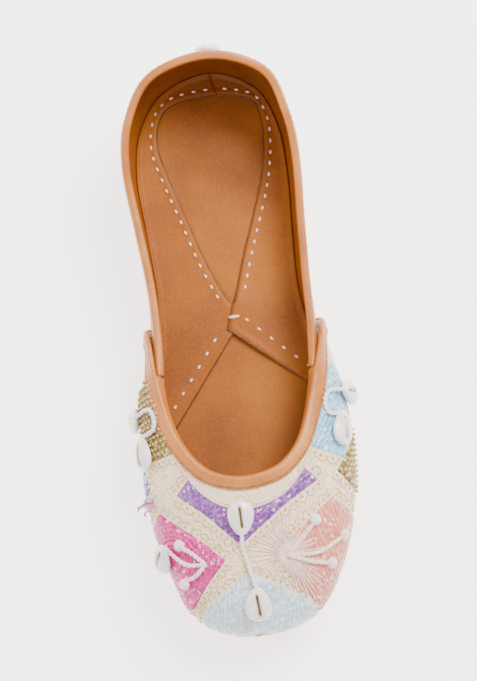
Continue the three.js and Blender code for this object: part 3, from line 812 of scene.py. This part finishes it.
def patch(name, places, finish):
    """A padded patch with its corners, places of t and r, joined by lines straight on the flat cloth"""
    sides = list(sides_of([flat_of(t, r) for t, r in places]))
    shares = [t for t, _ in places]
    start, end = min(shares) - 0.012, max(shares) + 0.012
    bm = bmesh.new()
    columns, rows = round((end - start) * last_girth / patch_grid), round(vamp_rise / patch_grid)
    bmesh.ops.create_grid(bm, x_segments=columns, y_segments=rows, size=0.5)
    round_layer, rise_layer = (bm.verts.layers.float.new(layer) for layer in ("round", "rise"))
    for corner in bm.verts:
        t = start + (corner.co.x + 0.5) * (end - start)
        r = lowest + (corner.co.y + 0.5) * (highest - lowest)
        corner[round_layer], corner[rise_layer] = t, r
        corner.co = flat_of(t, r)
    for here, _, _, out in sides:
        bmesh.ops.bisect_plane(bm, geom=bm.verts[:] + bm.edges[:] + bm.faces[:], plane_co=here,
                               plane_no=out, clear_outer=True)
    pattern = bm.loops.layers.uv.new("pattern")
    for corner in bm.verts:
        for loop in corner.link_loops:
            loop[pattern].uv = corner.co.xy
    for corner in bm.verts:
        t, r = corner[round_layer], corner[rise_layer]
        off_edge = min(from_edge(corner.co, sides), (highest - r) * end_rise, (r - lowest) * end_rise)
        lift = vamp_over(t, r) + toe_pleat(t, r) + blend(-0.15, patch_height, smooth(off_edge / patch_round))
        corner.co = in_frame(off_last(t, r, lift))
    bmesh.ops.recalc_face_normals(bm, faces=bm.faces)
    bm.faces.ensure_lookup_table()
    first = bm.faces[len(bm.faces) // 2]
    if first.normal.dot(last_frame(sum(shares) / len(shares), 0.5)[2]) < 0:
        bmesh.ops.reverse_faces(bm, faces=bm.faces)
    thickened(piece(name, bm, finish, "embroidered_cloth", "vamp"), 0.5, -1)


def satin(name, deep, plain, pale, turn=0.0, glint_tone="ffffff", share=0.06, centre=None, faded=None):
    """Close rows of floss with cut beads between them, in one family of colour, with painted shade in the
    grooves between the rows and painted glints in a pale tone on a share of the beads; centre gives the
    place that the rows run round, faded a place, two distances from it and the tone near it"""
    made = Finish(name, "UV", Roughness=0.4, Sheen_Weight=0.5, Sheen_Roughness=0.3, Specular_IOR_Level=0.6)
    along = made.stretched((1, 1, 1), turn)
    if centre:
        from_centre = made.add("VectorMath", {0: made.where, 1: centre}, operation="SUBTRACT")
        shape = {"Vector": from_centre, "Scale": 0.16, "Distortion": 0.6, "Detail Scale": 1.0}
        rows = made.add("TexWave", shape, wave_type="RINGS", rings_direction="SPHERICAL")
    else:
        shape = {"Vector": along, "Scale": 0.16, "Distortion": 1.2, "Detail Scale": 0.6}
        rows = made.add("TexWave", shape, bands_direction="X")
    cut_beads = made.cells(0.8, vector=along)
    each = made.cells(0.8, "Color", vector=along)
    floss = made.noise(1, 3, made.stretched((0.25, 2.6, 1), turn))
    tone = made.weighed((made.add("SeparateColor", {"Color": each}), 0.4), (floss, 0.6))
    body = made.ramp(tone, [(0.25, deep), (0.5, plain), (0.72, pale)])
    if faded:
        middle, near, far, faint = faded
        away = made.add("VectorMath", {0: made.where, 1: middle}, out=1, operation="DISTANCE")
        body = made.mixed(made.span(away, near, far, 1.0, 0.0), body, faint)
    # Painted glints: a share of the cut beads is painted in a pale tone, as beads that catch the light, and
    # made glossier.
    painted_glint = made.calc("GREATER_THAN", made.add("SeparateColor", {"Color": each}, out=1), 1 - share)
    colour = made.mixed(painted_glint, body, glint_tone)
    # Painted shade: the grooves between the rows of floss are darkened towards the deep tone.
    groove_shade = made.calc("MULTIPLY", made.calc("SUBTRACT", 1.0, rows), 0.35)
    made.colour(made.mixed(groove_shade, colour, deep))
    made.feed(made.shader, "Roughness", made.calc("SUBTRACT", 0.46, made.calc("MULTIPLY", painted_glint, 0.26)))
    dome = made.calc("SUBTRACT", 1.0, cut_beads)
    made.relief(made.calc("ADD", dome, made.calc("MULTIPLY", rows, 0.8)), 0.4, 0.8)
    return made


pink_meet, salmon_meet = (0.457, 0.6), (0.537, 0.64)
hot_pink = satin("hot_pink_floss", "a50b58", "dc1f86", "f052a6", 0.3, "ffc0e4", 0.05, flat_of(0.42, 0.4))
lilac = satin("lilac_floss", "602979", "8c459b", "b376c0", 0.9, "f3dff5", 0.05)
salmon = satin("salmon_floss", "cf6a58", "e68873", "f3a994", -0.5, "ffe9e0", 0.05,
               faded=(flat_of(*salmon_meet), 4.0, 15.0, "f3dcc8"))
pale_blue = satin("pale_blue_floss", "a7bbc5", "c9d9e0", "e6eff2", 0.1, "f6fbff", 0.12,
                  faded=(flat_of(0.5, 0.16), 3.0, 18.0, "d5dade"))
sea_blue = satin("sea_blue_floss", "66a3c2", "90c4dc", "bfe0ec", 0.5, "f3fbff", 0.1)
violet = satin("violet_floss", "5e3888", "8053ac", "a67cc9", 0.2, "ffffff", 0.2)
bronze = satin("bronze_floss", "5f4316", "8f6b2c", "c2a052", 0.7, "f0dfa8", 0.12)

patches = {
    "pink_diamond": ([(0.478, 0.66), (0.383, 0.465), (0.377, 0.03), (0.443, 0.03), (0.455, 0.28)], hot_pink),
    "lilac_arm_left": ([(0.391, 0.705), (0.402, 0.96), (0.493, 0.99), (0.493, 0.73)], lilac),
    "lilac_arm_right": ([(0.493, 0.73), (0.493, 0.99), (0.606, 0.96), (0.614, 0.73)], lilac),
    "salmon_diamond": ([(0.524, 0.66), (0.613, 0.58), (0.622, 0.03), (0.557, 0.03), (0.544, 0.24)], salmon),
    "toe_patch": ([(0.5, 0.62), (0.466, 0.38), (0.46, 0.02), (0.478, 0), (0.5, -0.02), (0.524, 0),
                   (0.548, 0.02), (0.539, 0.36)], pale_blue),
    "bronze_patch": ([(0.274, 0.98), (0.374, 0.99), (0.344, 0.46), (0.288, 0.16)], bronze),
    "blue_patch": ([(0.736, 0.98), (0.624, 0.99), (0.65, 0.46), (0.712, 0.18)], sea_blue),
    "violet_triangle": ([(0.362, 0.44), (0.366, 0.03), (0.312, 0.03), (0.31, 0.1)], violet),
    "bronze_triangle": ([(0.634, 0.6), (0.634, 0.03), (0.684, 0.03), (0.69, 0.1)], bronze),
}
for name, (places, finish) in patches.items():
    patch(name, places, finish)

# Cowries: real shells about 15 mm long, glossy and off-white, with a toothed slit along the face.
# They are sewn down flat, and twisted cords run over the needlework from the narrow ends of most.
shell_length, shell_width, shell_height, shell_taper = 15, 11, 5, 0.5
cord_inside = 0.6  # how far in from a shell's narrow end its cord starts
porcelain = Finish("cowrie_shell", Roughness=0.24, Coat_Weight=0.5, Coat_Roughness=0.12)
slit_shade = porcelain.add("Attribute", out="Fac", attribute_name="slit")
shell_tone = porcelain.ramp(porcelain.noise(160, 4), [(0.3, "e4dccf"), (0.6, "f8f4ec")])
# Painted shade: the slit and the gaps between its teeth are painted dark brown, for the shade inside the
# hollow shell.
shade_in_slit = porcelain.ramp(slit_shade, [(0.0, "ffffff"), (0.35, "d8c3a4"), (0.75, "4a3322")])
porcelain.colour(porcelain.mixed(1.0, shell_tone, shade_in_slit, "MULTIPLY"))
porcelain.relief(porcelain.noise(500, 3), 0.05, 0.4)
shells = {
    "shell_throat": (11.86, 0.85, 0),
    "shell_toe": (rib_count - 11.9, 0.46, 180),
    "shell_left_front": (8.1, 0.52, -115),
    "shell_left_rear": (7.3, 0.3, 170),
    "shell_left_toe": (9.82, 0.31, 180),
    "shell_right_front": (rib_count - 7.9, 0.58, 105),
    "shell_right_rear": (rib_count - 7.1, 0.4, 190),
    "shell_heel": (0, 0.6, 180),
}
narrow_tips = {}
for name, (row, r, turn) in shells.items():
    t = row / rib_count
    _, rise, normal = last_frame(t, r)
    ahead = Quaternion(normal, math.radians(turn)) @ -rise.normalized()
    across = normal.cross(ahead)
    over = 0 if name == "shell_heel" else vamp_over(t, r)
    centre = off_last(t, r, over + layer_gap + shell_height / 2)
    narrow_tips[name] = centre + ahead * (shell_length / 2 - cord_inside)
    bm = bmesh.new()
    bmesh.ops.create_uvsphere(bm, u_segments=56, v_segments=36, radius=0.5)
    bmesh.ops.rotate(bm, verts=bm.verts, matrix=Matrix.Rotation(math.pi / 2, 3, "Y"))
    slit = bm.verts.layers.float.new("slit")
    for corner in bm.verts:
        x, y, z = corner.co
        narrow = 1 - shell_taper * x
        along, side, up = x * shell_length, y * shell_width * narrow, z * shell_height * narrow
        if z > 0:
            ends = smooth((5.4 - abs(along + 0.3)) / 1.6)
            off_slit = abs(side - 0.35 * math.sin(along / 4))
            mouth = math.exp(-((off_slit / 0.55) ** 2)) * ends
            lips = math.exp(-(((off_slit - 1.5) / 0.8) ** 2)) * ends
            teeth = 0.5 + 0.5 * math.cos(2 * math.pi * along / 1.05)
            up += -1.5 * mouth + 0.3 * lips * (0.4 + teeth)
            # The slit layer holds the painted shade: full in the slit's mouth, fainter between the teeth.
            corner[slit] = min(1, mouth + 0.35 * lips * (1 - teeth) * math.exp(-off_slit / 1.5))
        corner.co = in_frame(centre + ahead * along + across * side + normal * up)
    bmesh.ops.recalc_face_normals(bm, faces=bm.faces)
    piece(name.replace("shell", "cowrie"), bm, porcelain, "shell", name)

# Stems: thick cotton cord of two plies, white, pink or peach, couched down in curves from shell to
# shell and to small wrapped knots, like buds on their stalks.


def spun(name, scale, deep, pale, fuzz=None, detail=3, **sockets):
    """A finish of two tones that run into each other; fuzz is the scale and height of its fine relief"""
    made = Finish(name, **sockets)
    made.colour(made.ramp(made.noise(scale, detail), [(0.3, deep), (0.7, pale)]))
    if fuzz:
        made.relief(made.noise(fuzz[0], 2), fuzz[1], 0.6)
    return made


cotton = spun("white_cotton", 700, "e9e2dc", "fbf8f5", (1800, 0.08), Roughness=0.75, Sheen_Weight=0.3)
dyed = {"fuzz": (2200, 0.06), "Roughness": 0.65, "Sheen_Weight": 0.4}
pink_cotton = spun("pink_cotton", 400, "f3bcdc", "fde6f3", **dyed)
peach_cotton = spun("peach_cotton", 400, "f6cdbd", "fdeae0", **dyed)


def on_vamp(t, r, lift):
    return off_last(t, r, vamp_over(t, r) + toe_pleat(t, r) + lift)


def through(points, step):
    """Points a step apart on the smooth line through the given ones, in millimetres"""
    line = []
    padded = [2 * points[0] - points[1], *points, 2 * points[-1] - points[-2]]
    for before, here, after, beyond in zip(padded, padded[1:], padded[2:], padded[3:]):
        count = max(1, round((after - here).length / step))
        for k in range(count):
            s = k / count
            line.append(0.5 * (
                2 * here + (after - before) * s + (2 * before - 5 * here + 4 * after - beyond) * s**2
                + (3 * here - before - 3 * after + beyond) * s**3))
    return [*line, points[-1]]


def curves(name, lines, radius, finish, sides=2):
    """One piece of many round threads along the lines, which are in millimetres"""
    data = bpy.data.curves.new(name, "CURVE")
    data.dimensions = "3D"
    data.bevel_depth = radius / 1000
    data.bevel_resolution = sides
    data.use_fill_caps = True
    for line in lines:
        spline = data.splines.new("POLY")
        spline.points.add(len(line) - 1)
        for place, point in zip(spline.points, line):
            place.co = (*in_frame(point), 1)
    on_slipper(name, data, finish)


def two_ply(line, radius, pitch):
    """The two plies of a cord along a line of points"""
    plies = ([], [])
    gone = 0
    for k, point in enumerate(line):
        along = (line[min(k + 1, len(line) - 1)] - line[max(k - 1, 0)]).normalized()
        side = along.cross(Vector((0.3, 0.2, 1))).normalized()
        up = side.cross(along)
        angle = 2 * math.pi * gone / pitch
        for ply, start in zip(plies, (0, math.pi)):
            ply.append(point + (side * math.cos(angle + start) + up * math.sin(angle + start)) * radius)
        if k + 1 < len(line):
            gone += (line[k + 1] - point).length
    return plies


cord_radius, ply_offset, ply_pitch = 0.55, 0.45, 4.0
pink_end, peach_end = (*pink_meet, 1.5), (*salmon_meet, 1.5)
stems = {  # each stem from place to place: the narrow tip of a shell, or t, r and the height over the vamp
    "white_stems": (cotton, [
        ["shell_throat", (0.495, 0.72, 1.4), (0.499, 0.665, 1.4), "shell_toe"],
        ["shell_left_front", (0.328, 0.74, 1.8), (0.32, 0.82, 1.8), (0.308, 0.74, 1.8), "shell_left_rear"],
        ["shell_right_front", (0.678, 0.74, 1.8), (0.686, 0.82, 1.8), (0.698, 0.76, 1.8),
         "shell_right_rear"]]),
    "pink_stems": (pink_cotton, [
        ["shell_left_toe", (0.435, 0.5, 1.8), pink_end],
        [(0.423, 0.54, 1.8), (0.439, 0.59, 1.7), pink_end],
        [(0.441, 0.42, 1.8), (0.45, 0.51, 1.7), pink_end]]),
    "peach_stems": (peach_cotton, [
        [(0.577, 0.655, 1.8), (0.558, 0.66, 1.7), peach_end],
        [(0.592, 0.4, 1.8), (0.565, 0.53, 1.7), peach_end],
        [(0.568, 0.42, 1.8), (0.554, 0.54, 1.7), peach_end]]),
}
for name, (finish, group) in stems.items():
    plies = []
    for stem in group:
        points = [narrow_tips[place] if isinstance(place, str) else on_vamp(*place) for place in stem]
        plies += two_ply(through(points, 0.4), ply_offset, ply_pitch)
    curves(name, plies, cord_radius, finish)


bud_radius, bud_height, bud_lift = 2.4, 1.8, 2.1


def wrapped_buds(name, places, finish):
    """Buds of thread wound over a small pad, at the ends of the stems"""
    bm = bmesh.new()
    for t, r in places:
        turn, _, normal = last_frame(t, r)
        across = turn.normalized()
        frame_of_bud = Matrix((across, normal.cross(across), normal)).transposed()
        made = bmesh.ops.create_uvsphere(bm, u_segments=20, v_segments=14, radius=1)["verts"]
        middle = on_vamp(t, r, bud_lift)
        for corner in made:
            angle = math.atan2(corner.co.y, corner.co.x)
            wound = bud_radius * (1 + 0.1 * math.cos(6 * angle + 7 * corner.co.z))
            local = Vector((corner.co.x * wound, corner.co.y * wound, corner.co.z * bud_height))
            corner.co = in_frame(middle + frame_of_bud @ local)
    piece(name, bm, finish, "embroidered_cloth")


wrapped_buds("pink_buds", [(0.421, 0.54), (0.441, 0.4)], pink_cotton)
wrapped_buds("peach_buds", [(0.595, 0.385), (0.57, 0.4)], peach_cotton)
wrapped_buds("white_bud", [(0.58, 0.655)], cotton)

# Beads and couched threads: brass-coloured round beads in rows along every patch, a wavy line of
# gold thread beside them, bead netting on the bronze patches and loose sequins on the rest.
table_of_places = []
table_columns, table_rows = 129, 12
for column in range(table_columns + 1):
    for row in range(1, table_rows):
        t, r = 0.255 + 0.49 * column / table_columns, row / table_rows
        table_of_places.append((flat_of(t, r), t, r))


def off_pattern(point):
    """The place t, r of a point of the flat cloth"""
    _, t, r = min(table_of_places, key=lambda known: (known[0] - point).length_squared)
    for _ in range(3):
        here = flat_of(t, r)
        by_t = (flat_of(t + 1e-3, r) - here) / 1e-3
        by_r = (flat_of(t, r + 1e-2) - here) / 1e-2
        miss = point - here
        det = by_t.x * by_r.y - by_t.y * by_r.x
        t += (miss.x * by_r.y - miss.y * by_r.x) / det
        r += (miss.y * by_t.x - miss.x * by_t.y) / det
    return t, r


def inside(point, corners, margin=0.0):
    """Whether a point of the flat cloth lies in the patch, or within the margin of it"""
    return all((point - here).dot(out) <= margin for here, _, _, out in sides_of(corners))


outlines = {name: [flat_of(t, r) for t, r in places] for name, (places, _) in patches.items()}
bead_pitch, wave_step = 3.2, 0.9
bead_places, wavy_lines = [], []


def on_ground(point, margin):
    """The place t, r of a point of the flat cloth, or None on a patch, by the sole or by a binding"""
    t, r = off_pattern(point)
    covered = any(inside(point, corners, margin) for corners in outlines.values())
    return (t, r) if 0.08 < r < 0.87 and rows_from_wing(t) > 1 and not covered else None


for corners in outlines.values():
    for here, after, side, out in sides_of(corners):
        reach = (after - here).length
        count = round(reach / bead_pitch)
        for k in range(count):
            place = on_ground(here + side * (reach * (k + 0.5) / count) + out * 1.3, 0.6)
            if place:
                bead_places.append((*place, 0.3))
        line = []
        for k in range(round(reach / wave_step) + 1):
            wave = 3.1 + 0.7 * math.sin(k * 1.1)
            place = on_ground(here + side * (wave_step * k) + out * wave, 1.0)
            if place:
                line.append(on_vamp(*place, 0.15))
            elif len(line) > 3:
                wavy_lines.append(line)
                line = []
        if len(line) > 3:
            wavy_lines.append(line)

brass = spun("brass_beads", 300, "a8884a", "e6cd8e", detail=2, Roughness=0.32, Metallic=0.6)
gold_thread = spun("gold_thread", 500, "b99a5c", "e6d3a2", (2500, 0.05), Roughness=0.4, Metallic=0.35,
                   Sheen_Weight=0.3)
curves("gold_couching", wavy_lines, 0.2, gold_thread, 1)


def beads(name, places, radius, finish, squash=1.0):
    """Small round beads sewn on at the places, each a few faces"""
    bm = bmesh.new()
    for t, r, lift in places:
        normal = last_frame(t, r)[2]
        lay = normal.to_track_quat("Z", "Y").to_matrix().to_4x4()
        shape = Matrix.Diagonal((radius / 1000, radius / 1000, radius * squash / 1000, 1))
        place = Matrix.Translation(in_frame(on_vamp(t, r, lift))) @ lay @ shape
        bmesh.ops.create_icosphere(bm, subdivisions=2 if squash > 0.9 else 1, radius=1, matrix=place)
    piece(name, bm, finish, "embroidered_cloth")


bead_radius, net_bead_radius, sequin_radius = 0.48, 0.72, 0.55
beads("brass_beads", bead_places, bead_radius, brass)
random.seed(7)
net, silver = [], []
net_pitch = 2.3


def spread_of(corners):
    """The least and the greatest x of a patch, and the same of its y"""
    return [pick(corner[axis] for corner in corners) for axis in (0, 1) for pick in (min, max)]


for name in ("bronze_patch", "bronze_triangle"):
    low_x, high_x, low_y, high_y = spread_of(outlines[name])
    for i in range(int((high_x - low_x) / net_pitch)):
        for j in range(int((high_y - low_y) / net_pitch)):
            point = Vector((low_x + (i + 0.5 * (j % 2)) * net_pitch, low_y + j * net_pitch, 0))
            if inside(point, outlines[name], -1.0):
                t, r = off_pattern(point)
                if 0.1 < r < 0.88:
                    net.append((t, r, 1.1))
beads("bronze_bead_net", net, net_bead_radius, brass)
sequin = spun("silver_sequins", 200, "dfe3ec", "ffffff", detail=2, Roughness=0.2, Metallic=0.4)
for name in ("violet_triangle", "toe_patch", "blue_patch", "lilac_arm_left", "lilac_arm_right",
             "pink_diamond", "salmon_diamond"):
    low_x, high_x, low_y, high_y = spread_of(outlines[name])
    for _ in range(70 if name == "violet_triangle" else 14):
        point = Vector((random.uniform(low_x, high_x), random.uniform(low_y, high_y), 0))
        if inside(point, outlines[name], -1.2):
            t, r = off_pattern(point)
            if 0.1 < r < 0.87:
                silver.append((t, r, 0.85))
beads("silver_sequins", silver, sequin_radius, sequin, 0.4)

# Rays: loose rows of pale floss that fan out from where the stems meet on the salmon side and run
# over the cream ground, and a pinkish cord laid along the throat just under the binding.
rays = []
ray_count, ray_steps, ray_start = 46, 12, 2.2
meet = flat_of(*salmon_meet)
for k in range(ray_count):
    angle = 2 * math.pi * (k + 0.3 * random.random()) / ray_count
    reach = 15 + 9 * random.random()
    line = []
    for step in range(ray_steps + 1):
        away = ray_start + (reach - ray_start) * step / ray_steps
        point = meet + Vector((math.cos(angle), math.sin(angle), 0)) * away
        t, r = off_pattern(point)
        on_patch = any(inside(point, outlines[other], 0.6) for other in outlines if other != "salmon_diamond")
        if 0.07 < r < 0.87 and not on_patch:
            lift = 0.75 if inside(point, outlines["salmon_diamond"], 0) else 0.2
            line.append(on_vamp(t, r, lift))
    if len(line) > 3:
        rays.append(line)
rosy = spun("rosy_floss", 600, "e6b7a8", "f8e2d8", (2500, 0.05), Roughness=0.6, Sheen_Weight=0.4)
curves("fanned_rays", rays, 0.3, rosy, 1)
throat_line = [on_vamp(t / 1000, 0.885, 0.35) for t in range(372, 631, 3)]
curves("throat_cord", two_ply(through(throat_line, 0.8), 0.3, 3.0), 0.42, rosy, 1)

# Tuft: loose ends of lilac and pink floss that stand out of the left side, between the violet and
# the pink patch, where they were tied off and not trimmed.
tuft = []
for k in range(9):
    t, r = 0.373 + random.uniform(-0.004, 0.004), 0.4 + random.uniform(-0.04, 0.04)
    normal = last_frame(t, r)[2]
    lean = Vector((random.uniform(-1, 1), random.uniform(-1, 1), random.uniform(-1, 1)))
    root = on_vamp(t, r, 0)
    tuft.append(through([root, root + normal * 2.2 + lean * 0.8, root + normal * 4.2 + lean * 2.2,
                         root + normal * 3.4 + lean * 3.4], 0.5))
curves("thread_tuft", tuft, 0.4, satin("tuft_floss", "a06ba0", "c98bb4", "efb9d2"), 1)

# Stitches: pale running stitches hold the lining flaps down, with one dash over their crossing, and
# thin dark lines along the flaps' cut edges are painted shadow. Small tan stitches go through the
# bindings, and strong ones join the board and the outsole round the toe.


def stitches(name, places, size, finish, slot):
    """Short rounded stitches; each place is a middle, the way it lies and the way it faces"""
    long, wide, high = (part / 2000 for part in size)
    bm = bmesh.new()
    for middle, along, facing in places:
        along = along.normalized()
        side = facing.cross(along).normalized()
        lay = Matrix((along, side, along.cross(side))).transposed().to_4x4()
        place = Matrix.Translation(in_frame(middle)) @ lay @ Matrix.Diagonal((long, wide, high, 1))
        bmesh.ops.create_icosphere(bm, subdivisions=2, radius=1, matrix=place)
    piece(name, bm, finish, slot)


hem_offset, front_offset = 3, 9
flap_places = []


def along_hem(side, share_of, start, end, pitch):
    """Stitches on a flap beside one of its free edges, a pitch apart"""
    line = [on_flap(side, *share_of(side, blend(start, end, k / 300))) for k in range(301)]
    gone = pitch / 2
    for before, here, after in zip(line, line[1:], line[2:]):
        gone += (here - before).length
        if gone > pitch:
            flap_places.append((here + Vector((0, 0, 0.2)), after - before, Vector((0, 0, 1))))
            gone = 0


def beside_window(side, along):
    width = (flap_place(side, along, 1) - flap_place(side, along, 0)).length
    return along, 1 - min(hem_offset, 0.5 * width) / width


def beside_front(side, across):
    depth = (flap_place(side, 1, across) - flap_place(side, 0.9, across)).length
    return 1 - 0.1 * front_offset / depth, across


for side in flap_over:
    along_hem(side, beside_window, 0.01, 0.78, 4.9)
    along_hem(side, beside_front, 0.12, 0.86, 6.6)
stitches("flap_stitches", flap_places, (2.0, 1.1, 0.8), rosy, "lining_leather")
dash_y = 13.6
dash_height = insole_top(dash_y) + layer_gap + flap_thickness + 1.0
dash = [(Vector((1.8, dash_y, dash_height)), Vector((1, 0.12, 0)), Vector((0, 0, 1)))]
stitches("crossing_stitch", dash, (5.2, 1.5, 1.2), rosy, "lining_leather")

# Painted shadow: thin dark brown lines laid along the flaps' cut edges stand for the shade at their edges.
edge_shadow_finish = spun("painted_edge_shadow", 400, "4c2408", "6d3a12", Roughness=0.45)
edges = []
for side in flap_over:
    for fixed in ("window", "front"):
        line = []
        for k in range(81):
            along, across = (k / 80, 1.0) if fixed == "window" else (1.0, 0.04 + 0.96 * k / 80)
            line.append(on_flap(side, along, across) - Vector((0, 0, 0.15)))
        edges.append(line)
curves("flap_edge_shadow_lines", edges, 0.32, edge_shadow_finish, 1)

tan_thread = spun("tan_thread", 500, "6b3a10", "a26c2c", Roughness=0.6, Sheen_Weight=0.2)


def binding_stitches(places, outer, down, pitch):
    """Stitches along a binding, down from its edge, a pitch apart"""
    on_edge = [off_last(t, r, 0) for t, r in places]
    made = []
    end = len(places) - 1
    for k in range(end):
        reach = (on_edge[k + 1] - on_edge[k]).length
        along = (on_edge[min(end, k + 2)] - on_edge[max(0, k - 1)]).normalized()
        count = max(1, round(reach / pitch))
        for step in range(count):
            share = (step + 0.5) / count
            place = tuple(blend(a, b, share) for a, b in zip(places[k], places[k + 1]))
            t, r = from_collar(place, along)[1](down)
            lift = layer_gap + binding_thickness
            made.append((off_last(t, r, outer(t, r) + lift), along, last_frame(t, r)[2]))
    return made


seams = binding_stitches(vamp_edge, vamp_over, binding_width - 1.2, 2.5)
seams += binding_stitches(quarter_places, on_quarter, binding_width - 1.3, 2.3)
stitches("binding_stitches", seams, (1.8, 0.75, 0.5), tan_thread, "tan_leather")
sole_stitch_count, sole_stitches_round, sole_stitch_up = 66, 131, 0.75
sole_places = []
for k in range(sole_stitch_count):
    t = 0.25 + k / sole_stitches_round
    point = foot_rail(t) + outward(t) * (sole_margin + sole_stitch_up)
    point.z = board_under(point.y) + sole_stitch_up
    sole_places.append((point, foot_rail(t + 1e-3) - foot_rail(t - 1e-3), outward(t)))
stitches("sole_stitches", sole_places, (3.0, 0.9, 0.7), tan_thread, "tan_leather")

# Heel patch: pale pink satin stitch across the back of the counter, with a small white cross worked
# above the cowrie, like the patches of the vamp.
rose = satin("rose_floss", "cf938c", "ecbcb2", "f8dcd3", 0.4, "fff4ef", 0.1)
heel_patch_wide, heel_patch_high = 60, 26


def heel_patch_place(x, y):
    t = blend(-0.058, 0.058, x)
    r = blend(0.2 + 0.1 * abs(2 * x - 1), 0.86, y)
    off_edge = min(min(x, 1 - x) * heel_patch_wide, min(y, 1 - y) * heel_patch_high)
    return off_last(t, r, blend(-0.2, 0.55, smooth(off_edge / patch_round)))


heel_bm = wrap(64, 30, heel_patch_place, pattern_of=lambda x, y: Vector((x * 62, y * heel_patch_high)))
thickened(piece("heel_patch", heel_bm, rose, "cream_cloth"), 0.5, -1)
cross = []
for first, second in (((0.005, 0.7), (-0.005, 0.79)), ((-0.005, 0.7), (0.005, 0.79))):
    middle = off_last(0, 0.745, 0.95)
    cross += two_ply(through([off_last(*first, 0.75), middle, off_last(*second, 0.75)], 0.5), 0.3, 3.0)
curves("heel_cross", cross, 0.38, cotton, 1)
